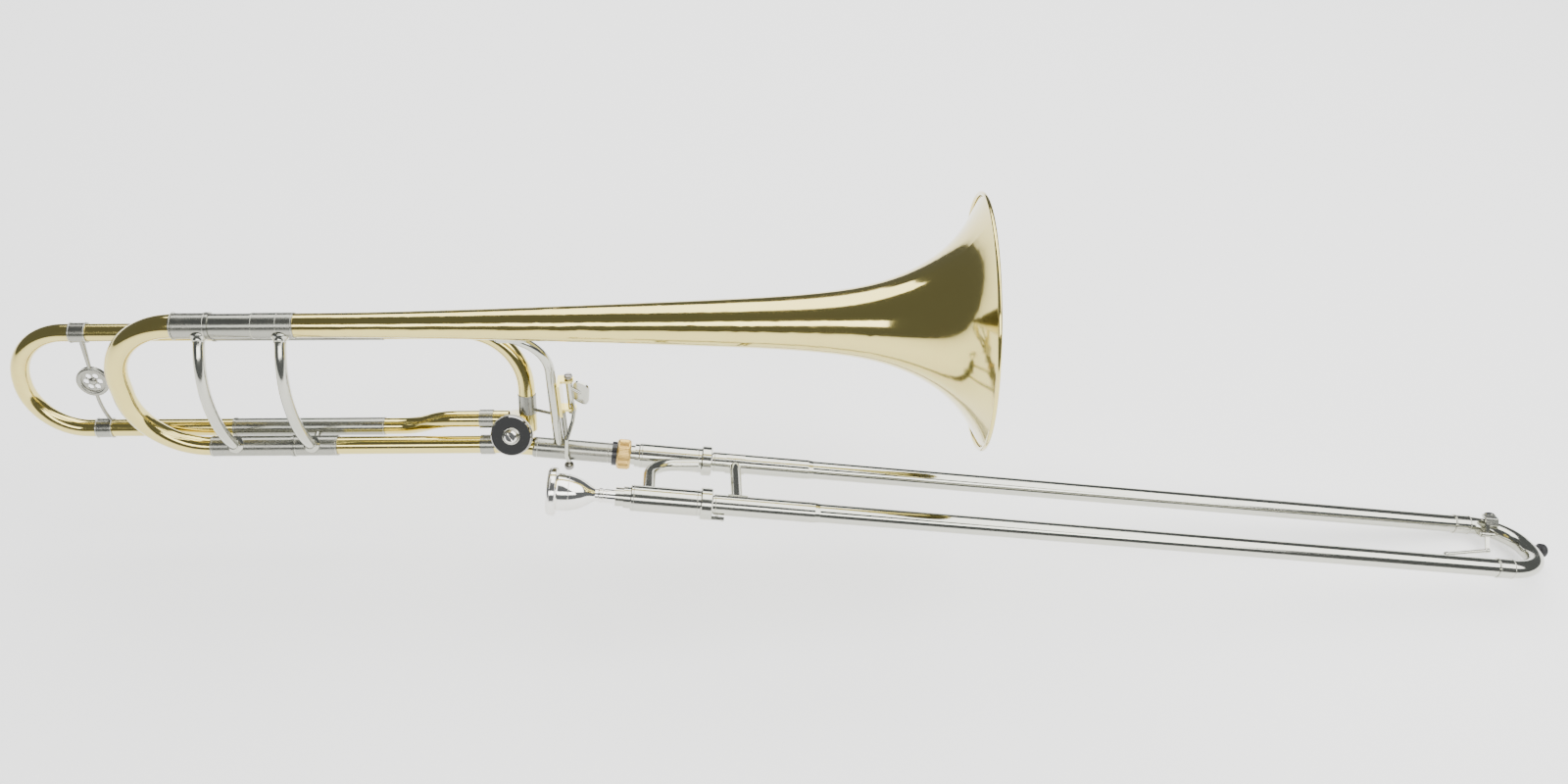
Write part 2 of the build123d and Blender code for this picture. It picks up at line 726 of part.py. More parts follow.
tenon_flange = (thread_end + 0.4, thread_end + 2.2)
with BuildPart() as lock_nut:
    turned(slide_line,
           (nut_start, thread_radius + sliding_fit),
           (nut_start, nut_radius - 1.0),
           (nut_start + 1.0, nut_radius),
           (nut_end - 1.0, nut_radius),
           (nut_end, nut_radius - 1.0),
           (nut_end, neck_of_tenon + sliding_fit),
           (tenon_flange[1] + end_gap, neck_of_tenon + sliding_fit),
           (tenon_flange[1] + end_gap, tenon_lip + sliding_fit),
           (tenon_flange[0] - end_gap, tenon_lip + sliding_fit),
           (tenon_flange[0] - end_gap, thread_radius + sliding_fit))
finish(lock_nut, "lock_nut")

with BuildPart() as slide_tenon:
    turned(slide_line,
           (tenon_start, tenon_bore),
           (tenon_start, tenon_radius),
           (tenon_flange[0], tenon_radius),
           (tenon_flange[0], tenon_lip),
           (tenon_flange[1], tenon_lip),
           (tenon_flange[1], neck_of_tenon),
           (nut_end + 0.1, neck_of_tenon),
           (nut_end + 0.1, collar_radius),
           (collar_end, collar_radius),
           (collar_end, barrel_ring_radius),
           (barrel_ring_end, barrel_ring_radius),
           (barrel_ring_end, inner_tube_radius),
           (collar_end, inner_tube_radius),
           (collar_end, tenon_bore))
finish(slide_tenon, "slide_tenon")

# ---------------------------------------------------------------- inner slide
with BuildPart() as upper_barrel:
    turned(slide_line,
           (barrel_ring_end, inner_tube_radius),
           (barrel_ring_end, barrel_radius - 0.6),
           (barrel_ring_end + 0.8, barrel_radius),
           (barrel_end, barrel_radius),
           (barrel_end, flange_radius - 1.0),
           (barrel_end + 1.0, flange_radius),
           (flange_end - 1.0, flange_radius),
           (flange_end, flange_radius - 1.0),
           (flange_end, barrel_bore),
           (barrel_ring_end + barrel_wall_depth - 6, barrel_bore),
           (barrel_ring_end + barrel_wall_depth - 6, inner_tube_radius))
finish(upper_barrel, "upper_barrel")

with BuildPart() as lower_barrel:
    turned(mouth_line,
           (lower_barrel_start, inner_tube_radius),
           (lower_barrel_start, mouthpiece_receiver_radius + lower_collar_wall),
           (lower_collar_end, mouthpiece_receiver_radius + lower_collar_wall),
           (lower_collar_end, barrel_radius - 0.6),
           (lower_collar_end + 0.8, barrel_radius),
           (lock_ring_start - end_gap, barrel_radius),
           (lock_ring_start - end_gap, lock_seat_radius),
           (flange_end - 0.6, lock_seat_radius),
           (flange_end - 0.6, barrel_bore),
           (lower_barrel_start + barrel_wall_depth + 3.3, barrel_bore),
           (lower_barrel_start + barrel_wall_depth + 3.3, inner_tube_radius))
finish(lower_barrel, "lower_barrel")

cork_start = barrel_ring_end + barrel_wall_depth - 6
outer_tube_start = cork_start + cork_depth + end_gap
with BuildPart() as barrel_corks:
    for tube_line in (slide_line, mouth_line):
        tube(tube_line, cork_start, cork_start + cork_depth, barrel_bore, inner_tube_radius)
finish(barrel_corks, "barrel_corks")


def inner_slide_tube(tube_line, start):
    """An inner slide tube with its thicker stocking at the far end, in the current part."""
    turned(tube_line,
           (start, inner_tube_radius - 0.4),
           (start, inner_tube_radius),
           (inner_tube_end - stocking_length, inner_tube_radius),
           (inner_tube_end - stocking_length, stocking_radius),
           (inner_tube_end, stocking_radius),
           (inner_tube_end, inner_tube_radius - 0.4))


with BuildPart() as upper_inner_tube:
    inner_slide_tube(slide_line, collar_end)
finish(upper_inner_tube, "upper_inner_tube")

with BuildPart() as lower_inner_tube:
    inner_slide_tube(mouth_line, lower_barrel_start)
finish(lower_inner_tube, "lower_inner_tube")

hand_brace_path = rounded_path(
    slide_line,
    [(hand_brace_at, slide_spacing), (hand_brace_at, 16), (barrel_end - 3, 8.5)],
    hand_brace_bend,
)
with BuildPart() as hand_brace:
    bent(hand_brace_path, hand_brace_radius, hand_brace_radius - brace_wall)
    tube(slide_line, barrel_ring_end - 5, barrel_end + 20, barrel_radius, mode=Mode.SUBTRACT)
    tube(mouth_line, lower_barrel_start, barrel_end, barrel_radius, mode=Mode.SUBTRACT)
finish(hand_brace, "hand_brace")


def shank_radius(distance, clearance=0.0):
    """The mouthpiece shank's taper, which its receiver follows."""
    share = (distance - shank_start) / (shank_end - shank_start)
    return shank_start_radius + (shank_end_radius - shank_start_radius) * share + clearance


with BuildPart() as leadpipe:
    turned(mouth_line,
           (mouthpiece_receiver_start, shank_radius(mouthpiece_receiver_start, sliding_fit)),
           (mouthpiece_receiver_start, mouthpiece_receiver_radius),
           (lower_barrel_start, mouthpiece_receiver_radius),
           (lower_barrel_start, leadpipe_radius),
           (leadpipe_end, leadpipe_radius),
           (leadpipe_end, leadpipe_radius - 0.4),
           (shank_end + 1, shank_end_radius - 0.3),
           (shank_end + 1, shank_radius(shank_end + 1, sliding_fit)))
finish(leadpipe, "leadpipe")

# ---------------------------------------------------------------- mouthpiece
with BuildPart() as mouthpiece:
    with BuildSketch(mouth_line):
        with BuildLine():
            rim_top = mouthpiece_rim
            Spline((rim_top + 2.2, 12.9), (rim_top, 15.8), (rim_top + 2.4, rim_radius - 0.2),
                   tangents=[(-0.5, 1), (1, 0.6)])
            Polyline((rim_top + 2.4, rim_radius - 0.2), (rim_top + 3.4, rim_radius),
                     (rim_top + 6.8, rim_radius), (rim_top + 7.8, rim_radius - 1.0),
                     (rim_top + 8.6, 14.9))
            Spline((rim_top + 8.6, 14.9), (rim_top + 16, 14.6), (rim_top + 29, 10.6), (98.5, 4.9),
                   tangents=[(1, 0), (0.9, -0.5)])
            Polyline((98.5, 4.9), (bead_start, 4.9), (bead_start + 0.8, bead_radius),
                     (bead_start + 3.2, bead_radius), (bead_start + 4.0, 5.0),
                     (shank_start, 5.0), (shank_start, shank_start_radius),
                     (shank_end, shank_end_radius), (shank_end, 4.3), (99, 3.2), (92.5, 3.2))
            Spline((92.5, 3.2), (85, 6.6), (74, 11.4), (rim_top + 2.2, 12.9),
                   tangents=[(-1, 0.3), (-1, 0.12)])
        make_face()
    revolve(axis=axis_of(mouth_line))
finish(mouthpiece, "mouthpiece")

# ---------------------------------------------------------------- slide lock
with BuildPart() as slide_lock:
    turned(mouth_line,
           (lock_ring_start, lock_seat_radius + sliding_fit),
           (lock_ring_start, lock_ring_radius - 0.9),
           (lock_ring_start + 0.9, lock_ring_radius),
           (flange_end - 1.1, lock_ring_radius),
           (flange_end - 0.2, lock_ring_radius - 0.9),
           (flange_end - 0.2, lock_seat_radius + sliding_fit))
    hook_plane = rolled(mouth_line, lock_hook_angle)
    hook_start = flange_end - 2.0
    with BuildSketch(hook_plane.offset(-hook_width / 2)):
        with Locations((hook_start, hook_height)):
            Rectangle(lock_hook_reach, hook_depth, align=(Align.MIN, Align.CENTER))
    extrude(amount=hook_width)
    with BuildSketch(hook_plane.offset(-hook_width / 2)):
        with Locations((hook_start + lock_hook_reach, hook_height)):
            Rectangle(tooth_length, hook_depth, align=(Align.MAX, Align.CENTER))
    extrude(amount=hook_width + tooth_reach)
finish(slide_lock, "slide_lock")

# ---------------------------------------------------------------- outer slide
outer_bore = outer_tube_radius - outer_tube_wall

with BuildPart() as upper_outer_tube:
    tube(slide_line, outer_tube_start, slide_end, outer_tube_radius, outer_bore)
finish(upper_outer_tube, "upper_outer_tube")

with BuildPart() as lower_outer_tube:
    tube(mouth_line, outer_tube_start, slide_end, outer_tube_radius, outer_bore)
finish(lower_outer_tube, "lower_outer_tube")

sleeve_start = flange_end + 1.0
stud_line = rolled(mouth_line, lock_stud_angle)
with BuildPart() as slide_sleeves:
    for tube_line in (slide_line, mouth_line):
        turned(tube_line,
               (sleeve_start, outer_tube_radius),
               (sleeve_start, sleeve_radius),
               (sleeve_end - 4, sleeve_radius),
               (sleeve_end, outer_tube_radius + 0.15),
               (sleeve_end, outer_tube_radius))
    stud_foot = stud_line.origin + slide_dir * (sleeve_start + 3.6) + stud_line.y_dir * (sleeve_radius - 0.4)
    extrude(ring(Plane(origin=stud_foot, z_dir=stud_line.y_dir), lock_stud_radius), amount=3.6)
finish(slide_sleeves, "slide_sleeves")

brace_line = line(slide_line.origin + slide_dir * outer_brace_at, across, slide_dir)
with BuildPart() as outer_brace:
    tube(brace_line, 4, slide_spacing - 4, outer_brace_radius, outer_brace_radius - brace_wall)
    half = saddle_length / 2
    for tube_line, inward in ((slide_line, 1), (mouth_line, -1)):
        with BuildSketch(at(tube_line, outer_brace_at - half)):
            Circle(sleeve_radius + saddle_thickness)
            with Locations((-inward * (sleeve_radius + 4), 0)):
                Rectangle(2 * sleeve_radius + 14, 4 * sleeve_radius, mode=Mode.SUBTRACT)
        extrude(amount=saddle_length)
        tube(tube_line, outer_brace_at - 20, outer_brace_at + 20, sleeve_radius, mode=Mode.SUBTRACT)
finish(outer_brace, "outer_brace")

with BuildPart() as end_ferrules:
    for tube_line in (slide_line, mouth_line):
        tube(tube_line, end_ferrule[0], end_ferrule[1], end_ferrule_radius, outer_tube_radius)
finish(end_ferrules, "end_ferrules")

crook_centreline = end_ferrule[1] + crook_reach
crook_path = rounded_path(
    slide_line,
    [(slide_end, 0), (crook_centreline, 0), (crook_centreline, slide_spacing), (slide_end, slide_spacing)],
    crook_corner,
)
with BuildPart() as crook:
    bent(crook_path, outer_tube_radius, outer_bore)
finish(crook, "crook")

# The crook's outside as a solid, to fit what is soldered to it.
with BuildPart() as crook_solid:
    bent(crook_path, outer_tube_radius)

bumper_line = line(slide_line.origin + across * slide_spacing / 2, slide_dir, slide_dir.cross(across))
crook_back = crook_centreline + outer_tube_radius
bumper_foot = crook_back - 3.0
bumper_pin_end = crook_back + 2.4
with BuildPart() as bumper_socket:
    tube(bumper_line, bumper_foot, bumper_pin_end, bumper_pin)
    add(crook_solid.part, mode=Mode.SUBTRACT)
finish(bumper_socket, "bumper_socket")

bumper_end = crook_back + bumper_length
with BuildPart() as bumper_tip:
    with BuildSketch(bumper_line):
        with BuildLine():
            Polyline((bumper_end, bumper_flat), (bumper_end, 0), (bumper_foot, 0),
                     (bumper_foot, bumper_neck), (crook_back + 2.0, bumper_neck),
                     (crook_back + 3.6, bumper_radius), (bumper_end - bumper_dome, bumper_radius))
            TangentArc((bumper_end - bumper_dome, bumper_radius), (bumper_end, bumper_flat), tangent=(1, 0))
        make_face()
    revolve(axis=axis_of(bumper_line))
    add(crook_solid.part, mode=Mode.SUBTRACT)
    tube(bumper_line, bumper_foot, bumper_pin_end, bumper_pin, mode=Mode.SUBTRACT)
finish(bumper_tip, "bumper_tip")

# ---------------------------------------------------------------- water key
nipple_at = key_at + nipple_ahead
bend_start = crook_centreline - crook_corner
nipple_y = crook_corner - sqrt(crook_corner ** 2 - (nipple_at - bend_start) ** 2)
key_pin_line = line(slide_line.origin + across * key_pivot_y, slide_dir, slide_dir.cross(across))
key_plane = at(slide_line, key_at)      # local X towards the other tube, local Y downwards
nipple_dir = key_plane.x_dir * cos(radians(nipple_angle)) - key_plane.y_dir * sin(radians(nipple_angle))
nipple_line = line(key_plane.origin + slide_dir * nipple_ahead + across * nipple_y, nipple_dir, slide_dir)
lug_inner = lug_span - lug_thickness

with BuildPart() as water_key_saddle:
    for lug_start in (key_at - lug_span, key_at + lug_inner):
        with BuildSketch(at(slide_line, lug_start)):
            with Locations((key_pivot_y / 2 + 4, 0)):
                Rectangle(key_pivot_y - 8, 2 * lug_radius)
            with Locations((key_pivot_y, 0)):
                Circle(lug_radius)
        extrude(amount=lug_thickness)
    tube(nipple_line, 5.0, nipple_end, nipple_radius)
    add(crook_solid.part, mode=Mode.SUBTRACT)
    tube(nipple_line, 5.0, nipple_end, nipple_radius - 1.2, mode=Mode.SUBTRACT)
    tube(key_pin_line, key_at - lug_span - 0.8, key_at + lug_span + 0.8, key_pin_radius)
finish(water_key_saddle, "water_key_saddle")

strap_way = (cos(radians(strap_angle)), sin(radians(strap_angle)))
finger_start = (key_pivot_y + strap_front * strap_way[0], strap_front * strap_way[1])
finger_end = (finger_start[0] + 5.0, finger_start[1] + 4.2)
arm_knee = (key_pivot_y - 3.5, 4.6 - arm_rise)
arm_points = [arm_knee, (nipple_y + 5.8, -arm_rise), (nipple_y - 0.4, -arm_rise)]


def arm_run(near, far):
    """A rounded run of the key's arm in the current sketch."""
    run = Vector(*far) - Vector(*near)
    middle = Vector(*near) + run / 2
    with Locations(Pos(middle.X, middle.Y) * Rot(0, 0, degrees(atan2(run.Y, run.X)))):
        SlotCenterToCenter(run.length, arm_depth)


with BuildPart() as water_key_lever:
    hub_half = lug_inner - 0.3
    tube(key_pin_line, key_at - hub_half, key_at + hub_half, key_hub_radius)
    with BuildSketch(at(slide_line, key_at - arm_width / 2)):
        with Locations(Pos(key_pivot_y, 0) * Rot(0, 0, strap_angle)):
            Rectangle(strap_front, arm_depth, align=(Align.MIN, Align.CENTER))
        arm_run((key_pivot_y, 0), arm_knee)
    extrude(amount=arm_width)
    with BuildSketch(at(slide_line, key_at - arm_width / 2)):
        for near, far in zip(arm_points, arm_points[1:]):
            arm_run(near, far)
    extrude(amount=arm_width + nipple_ahead)
    tube(nipple_line, 10.3, 12.9, cork_radius + 0.8)
    tube(nipple_line, 5.0, 15.0, cork_radius, mode=Mode.SUBTRACT)
    bar_start = key_plane.from_local_coords((*finger_start, 0))
    bar_end = key_plane.from_local_coords((*finger_end, -finger_length))
    bar_line = line(bar_start, bar_end - bar_start, (bar_end - bar_start).cross(across))
    knob = finger_radius + 0.5
    turned(bar_line, (-2.4, 0), (-2.4, 1.2), (-1.4, knob), (1.4, knob), (2.4, finger_radius),
           (finger_length - 2.4, finger_radius), (finger_length - 1.4, knob),
           (finger_length + 1.4, knob), (finger_length + 2.4, 1.2), (finger_length + 2.4, 0))
    tube(key_pin_line, key_at - lug_span, key_at + lug_span, key_pin_radius + key_fit, mode=Mode.SUBTRACT)
finish(water_key_lever, "water_key_lever")

with BuildPart() as water_key_cork:
    turned(nipple_line,
           (nipple_end + 0.1, 0), (nipple_end + 0.1, cork_radius), (12.6, cork_radius),
           (13.6, 4.2), (14.4, 3.0), (14.9, 0))
finish(water_key_cork, "water_key_cork")

# ---------------------------------------------------------------- front brace and trigger
brace_x = valve_x + front_brace_x
front_path = rounded_path(
    Plane.XZ,
    [(brace_x - front_brace_foot, -6), (brace_x, -28), (brace_x, -leg_spacing)],
    front_brace_bend,
)
with BuildPart() as front_bell_brace:
    bent(front_path, brace_radius, brace_radius - brace_wall)
    with BuildSketch(Plane.XY.offset(front_flange_height)):
        with Locations((brace_x - front_flange_back, 0)):
            SlotOverall(front_flange_length, front_flange_width)
    extrude(amount=brace_radius)
    add(bell_solid.part, mode=Mode.SUBTRACT)
    tube(slide_line, receiver_start, receiver_end, receiver_radius, mode=Mode.SUBTRACT)
finish(front_bell_brace, "front_bell_brace")

lever_x = valve_x + lever_axis_x
plate_back = brace_x + brace_radius

with BuildPart() as trigger_bracket:
    with BuildSketch(Plane.XY.offset(bracket_bottom)):
        with Locations((plate_back + bracket_plate / 2, bracket_mid)):
            Rectangle(bracket_plate, bracket_width)
    extrude(amount=bracket_top - bracket_bottom)
    for ear_height in (bracket_bottom, bracket_top - ear_thickness):
        with BuildSketch(Plane.XY.offset(ear_height)):
            with Locations(((plate_back + lever_x) / 2, lever_axis_y)):
                Rectangle(lever_x - plate_back, 8)
            with Locations((lever_x, lever_axis_y)):
                Circle(4.0)
                Circle(pin_radius, mode=Mode.SUBTRACT)
        extrude(amount=ear_thickness)
finish(trigger_bracket, "trigger_bracket")

pin_line = line((lever_x, lever_axis_y, 0), (0, 0, 1), (0, -1, 0))
with BuildPart() as trigger_pin:
    tube(pin_line, bracket_bottom - 1.2, bracket_top, pin_radius)
    tube(pin_line, bracket_bottom - 2.4, bracket_bottom, 2.6)
    tube(pin_line, bracket_top, bracket_top + 2.2, 2.6)
finish(trigger_pin, "trigger_pin")

hub_bottom = bracket_bottom + ear_thickness + 0.3
hub_top = bracket_top - ear_thickness - 0.3
spring_bottom = hub_bottom + 14.0
coil_radius = hub_radius + 1.2
with BuildPart() as trigger_spring:
    with BuildLine(Plane.XY.offset(spring_bottom)) as coil:
        with Locations((lever_x, lever_axis_y)):
            Helix(pitch=1.6, height=6.4, radius=coil_radius)
    with BuildSketch(Plane(origin=coil.line @ 0, z_dir=coil.line % 0)):
        Circle(0.45)
    sweep()
finish(trigger_spring, "trigger_spring")

ball_centre = (lever_x + ball_offset[0], lever_axis_y + ball_offset[1], ball_offset[2])
with BuildPart() as thumb_lever:
    tube(pin_line, hub_bottom, hub_top, hub_radius)
    arm_points = [
        (lever_x, lever_axis_y, hub_bottom + 5),
        (lever_x + 3, lever_axis_y - 8, hub_bottom + 2),
        (lever_x + 1, lever_axis_y - 11.5, hub_bottom - 7),
        (lever_x - 4, lever_axis_y - 19.5, ball_centre[2] + 31.5),
        (ball_centre[0] - 0.6, lever_axis_y - 21.5, ball_centre[2] + 15.5),
        (ball_centre[0], ball_centre[1], ball_centre[2] + 3.5),
        ball_centre,
    ]
    for start, end in zip(arm_points, arm_points[1:]):
        rod(start, end, lever_rod_radius)
        with Locations(end):
            Sphere(lever_rod_radius)
    with Locations(ball_centre):
        Sphere(ball_radius)
    paddle_plane = Plane(origin=(lever_x + 9.5, lever_axis_y - 3, bracket_top - 13),
                         x_dir=(1, -0.45, 0.25), z_dir=(0.45, 1, 0))
    with BuildSketch(paddle_plane):
        with Locations(Rotation(0, 0, 20)):
            RectangleRounded(14, 22, 5)
    extrude(amount=1.0, both=True)
    rod((lever_x, lever_axis_y, hub_top - 6), paddle_plane.origin, 2.0)
    tube(pin_line, hub_bottom - 1, hub_top + 1, pin_radius + 0.05, mode=Mode.SUBTRACT)
finish(thumb_lever, "thumb_lever")

# The link rod passes under the receiver and runs behind it to the crank.
crank = arm_rest_angle
link_height = arm_start - arm_thickness - link_gap - link_radius
link_end = (valve_plane.origin
            + valve_plane.x_dir * crank_radius * cos(radians(crank))
            + valve_plane.y_dir * crank_radius * sin(radians(crank))
            + valve_plane.z_dir * link_height)
link_turn = link_end + valve_plane.x_dir * 8.0 - valve_plane.y_dir * 7.0
link_points = [
    Vector(*ball_centre) + Vector(-0.2, 3.3, -1.2),
    Vector(*ball_centre) + Vector(-1.2, 18.5, -6.5),
    Vector(*ball_centre) + Vector(-6.0, 21.5, -6.5),
    link_turn,
    link_end + (link_turn - link_end).normalized() * 2.6,
]
with BuildPart() as link_rod:
    with Locations(ball_centre):
        Sphere(ball_radius + 1.6)
        Sphere(ball_radius + 0.1, mode=Mode.SUBTRACT)
    for reach in (1, -1):
        with BuildSketch(Plane.XY.offset(ball_centre[2] + reach * 1.7)):
            with Locations(ball_centre[:2]):
                Circle(8)
        extrude(amount=reach * 8, mode=Mode.SUBTRACT)
    for start, end in zip(link_points, link_points[1:]):
        rod(start, end, link_radius)
        with Locations(end):
            Sphere(link_radius)
    extrude(ring(Plane(origin=link_end, z_dir=valve_plane.z_dir).offset(-link_radius), 2.9, 1.2),
            amount=2 * link_radius)
    with Locations(ball_centre):
        Sphere(ball_radius + 0.1, mode=Mode.SUBTRACT)
finish(link_rod, "link_rod")

# ---------------------------------------------------------------- small stays of the bell section
with BuildPart() as stay_rods:
    stay_x = rear_brace_x - 6
    rod_x = plate_back + 1.9
    rod((stay_x, 0, 0), (stay_x, f_upper_y, f_upper_z), 2.4)
    tube(bell_line, stay_x - 9, stay_x + 9, ferrule_radius, mode=Mode.SUBTRACT)
    tube(f_upper_line, stay_x - 9, stay_x + 9, f_sleeve_radius, mode=Mode.SUBTRACT)
    rod((rear_brace_x, 0, -leg_spacing), (rear_brace_x, f_lower_y, f_lower_z - leg_spacing), 2.4)
    tube(neck_line, rear_brace_x - 9, rear_brace_x + 9, lower_outer_radius, mode=Mode.SUBTRACT)
    tube(f_lower_line, rear_brace_x - 9, rear_brace_x + 9, f_sleeve_radius, mode=Mode.SUBTRACT)
    collar_point = return_line.origin + return_line.x_dir * (return_ferrule[0] + 4)
    rod(collar_point, (brace_x, 0, bracket_bottom), 1.3)
    tube(return_line, 0, return_ferrule[1] + 9, f_pipe_radius + ferrule_wall, mode=Mode.SUBTRACT)
    tube(line((brace_x, 0, 0), (0, 0, 1), (0, -1, 0)), -leg_spacing, bracket_top, brace_radius,
         mode=Mode.SUBTRACT)
    rod((rod_x, bracket_mid, bracket_bottom), (rod_x, bracket_mid, -leg_spacing), support_rod_radius)
    tube(slide_line, receiver_start, receiver_end, receiver_radius, mode=Mode.SUBTRACT)
finish(stay_rods, "stay_rods")
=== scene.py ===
import json
import math

import bmesh
import bpy
from mathutils import Matrix, Vector


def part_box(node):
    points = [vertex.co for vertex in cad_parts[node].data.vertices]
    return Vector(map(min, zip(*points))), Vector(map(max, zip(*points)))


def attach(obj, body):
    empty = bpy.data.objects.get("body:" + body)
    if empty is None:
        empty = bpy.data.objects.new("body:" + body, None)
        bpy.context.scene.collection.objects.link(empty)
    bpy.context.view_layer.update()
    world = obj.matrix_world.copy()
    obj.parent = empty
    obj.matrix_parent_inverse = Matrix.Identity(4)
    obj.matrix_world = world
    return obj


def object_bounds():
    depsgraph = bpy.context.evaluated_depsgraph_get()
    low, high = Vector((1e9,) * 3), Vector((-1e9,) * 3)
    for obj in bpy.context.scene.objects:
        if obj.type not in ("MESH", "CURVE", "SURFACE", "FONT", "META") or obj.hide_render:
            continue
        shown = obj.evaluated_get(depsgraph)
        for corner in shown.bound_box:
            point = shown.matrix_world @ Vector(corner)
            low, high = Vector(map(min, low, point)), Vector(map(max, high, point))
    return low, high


bl_info = {
    "name": "Tenor trombone",
    "version": (1, 0, 0),
    "blender": (4, 5, 0),
    "location": "View3D > Sidebar > Trombone",
    "description": "Finishes, small details and a studio for a tenor trombone with an F attachment",
    "category": "Object",
}

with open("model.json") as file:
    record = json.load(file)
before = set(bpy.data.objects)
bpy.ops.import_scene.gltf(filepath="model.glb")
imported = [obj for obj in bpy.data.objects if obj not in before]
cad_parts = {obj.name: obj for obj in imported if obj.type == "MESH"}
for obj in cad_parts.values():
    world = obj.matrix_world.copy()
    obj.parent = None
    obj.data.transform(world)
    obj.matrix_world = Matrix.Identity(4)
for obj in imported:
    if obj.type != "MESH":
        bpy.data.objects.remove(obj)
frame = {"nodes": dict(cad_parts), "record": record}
CAD_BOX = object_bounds()

MM = 0.001


# ------------------------------------------------------------------ settings
class TromboneFinish(bpy.types.PropertyGroup):
    """Colours of the metals and the dark parts."""
    brass: bpy.props.FloatVectorProperty(
        name="Lacquered brass", description="Body of the bell, the bows and the pipes",
        default=(0.72, 0.61, 0.20), size=3, subtype="COLOR", min=0, max=1)
    brass_tarnish: bpy.props.FloatVectorProperty(
        name="Brass patina", description="Where the lacquer has thinned",
        default=(0.55, 0.36, 0.10), size=3, subtype="COLOR", min=0, max=1)
    raw_brass: bpy.props.FloatVectorProperty(
        name="Turned brass", description="Lock nut",
        default=(0.62, 0.42, 0.13), size=3, subtype="COLOR", min=0, max=1)
    nickel: bpy.props.FloatVectorProperty(
        name="Nickel silver", description="Ferrules, braces and the hand slide",
        default=(0.53, 0.53, 0.46), size=3, subtype="COLOR", min=0, max=1)
    silver: bpy.props.FloatVectorProperty(
        name="Silver plate", description="Mouthpiece",
        default=(0.86, 0.85, 0.80), size=3, subtype="COLOR", min=0, max=1)
    # Also the colour of the black ring, a near-black band at the gap between the slide receiver and the
    # lock nut.
    rubber: bpy.props.FloatVectorProperty(
        name="Rubber", description="Bumper, corks and the black ring",
        default=(0.012, 0.012, 0.013), size=3, subtype="COLOR", min=0, max=1)


class TromboneDetail(bpy.types.PropertyGroup):
    """Sizes of the small details."""
    knurls: bpy.props.IntProperty(
        name="Knurls", description="Ridges round the lock nut", default=64, min=12, max=120)
    knurl_height: bpy.props.FloatProperty(
        name="Knurl height", description="How far the knurling stands out",
        default=0.35 * MM, subtype="DISTANCE", unit="LENGTH")
    bead: bpy.props.FloatProperty(
        name="Bead", description="Radius of the half-round line at a ferrule's end",
        default=0.32 * MM, subtype="DISTANCE", unit="LENGTH")


class TromboneStage(bpy.types.PropertyGroup):
    """Floor, light and camera."""
    floor_size: bpy.props.FloatProperty(
        name="Floor", description="Side of the square floor", default=9.0,
        subtype="DISTANCE", unit="LENGTH")
    lens: bpy.props.FloatProperty(
        name="Lens", description="Focal length on a 36 mm wide film", default=33.9,
        subtype="DISTANCE_CAMERA", unit="CAMERA")
    key_power: bpy.props.FloatProperty(
        name="Key light", description="Power of the large light overhead", default=210.0,
        subtype="POWER", unit="POWER")
    fill_power: bpy.props.FloatProperty(
        name="Fill light", description="Power of the light behind the camera", default=60.0,
        subtype="POWER", unit="POWER")


# ------------------------------------------------------------------ places on the frame
# Distances are in millimetres, apart from SLIDE_START, which is a place in metres.
SLOPE = math.radians(7.18)
ROLL = math.radians(17.9)
SLIDE_WAY = Vector((math.cos(SLOPE), 0, -math.sin(SLOPE)))
SLIDE_ACROSS = (Vector((0, -math.cos(ROLL), 0))
                + Vector((math.sin(SLOPE), 0, math.cos(SLOPE))) * math.sin(ROLL))
LEG_SPACING = 128.4
SLIDE_CROSSING = Vector((-387.5, 0, -LEG_SPACING))     # where the slide's axis meets the neckpipe's
SLIDE_LEAD = 19.2                                      # from the slide's zero to that crossing
SLIDE_START = (SLIDE_CROSSING - SLIDE_WAY * SLIDE_LEAD) * MM
SLIDE_SPACING = 78.0

PORT_TILT = math.radians(30)
PORT_OFFSET = 11.0
ROTOR_WAY = Vector((0, -math.cos(PORT_TILT), math.sin(PORT_TILT)))
ROTOR_CENTRE = Vector((-380.0, PORT_OFFSET * math.sin(PORT_TILT),
                       -LEG_SPACING + PORT_OFFSET * math.cos(PORT_TILT)))
CAP_FACE = 18.0              # from the rotor's centre
CAP_RADIUS = 16.8

NUT_GRIP = (113.2, 122.3)    # along the slide
NUT_RADIUS = 12.2
KEY_HINGE = (879.5, 16.5)    # along and across the slide
KEY_SCREW_REACH = 6.2

BRACE_ARCH = 28.0            # how far the arched braces stand out
BRACE_PEAK = 52.0            # where they do, below the bell's axis
ARCH_RADIUS = 4.6            # of their tube
RING_HEIGHT = 0.6            # of the rings at the ends of the outer tubes


def on_slide(along, across=0.0):
    """A point in the slide's plane, from distances in millimetres."""
    return SLIDE_START + SLIDE_WAY * along * MM + SLIDE_ACROSS * across * MM


def turned_to(way):
    """The rotation that takes +X to a direction."""
    return Vector((1, 0, 0)).rotation_difference(way).to_matrix().to_4x4()


# ------------------------------------------------------------------ node helpers
def put(tree, kind, inputs=None, **settings):
    """Adds a node; an input is set to a value, or linked when it is given another node's socket."""
    made = tree.nodes.new(kind)
    for name, value in settings.items():
        setattr(made, name, value)
    for key, value in (inputs or {}).items():
        if isinstance(value, bpy.types.NodeSocket):
            tree.links.new(value, made.inputs[key])
        else:
            made.inputs[key].default_value = value
    return made


def maths(tree, operation, a, b=0.0):
    return put(tree, "ShaderNodeMath", {0: a, 1: b}, operation=operation).outputs[0]


def new_group(name, inputs, outputs):
    """An empty shader group with named sockets, given as (name, kind, default)."""
    group = bpy.data.node_groups.new(name, "ShaderNodeTree")
    for label, kind, value in inputs:
        socket = group.interface.new_socket(label, in_out="INPUT", socket_type="NodeSocket" + kind)
        if value is not None:
            socket.default_value = value
    for label, kind in outputs:
        group.interface.new_socket(label, in_out="OUTPUT", socket_type="NodeSocket" + kind)
    return group, put(group, "NodeGroupInput").outputs, put(group, "NodeGroupOutput").inputs


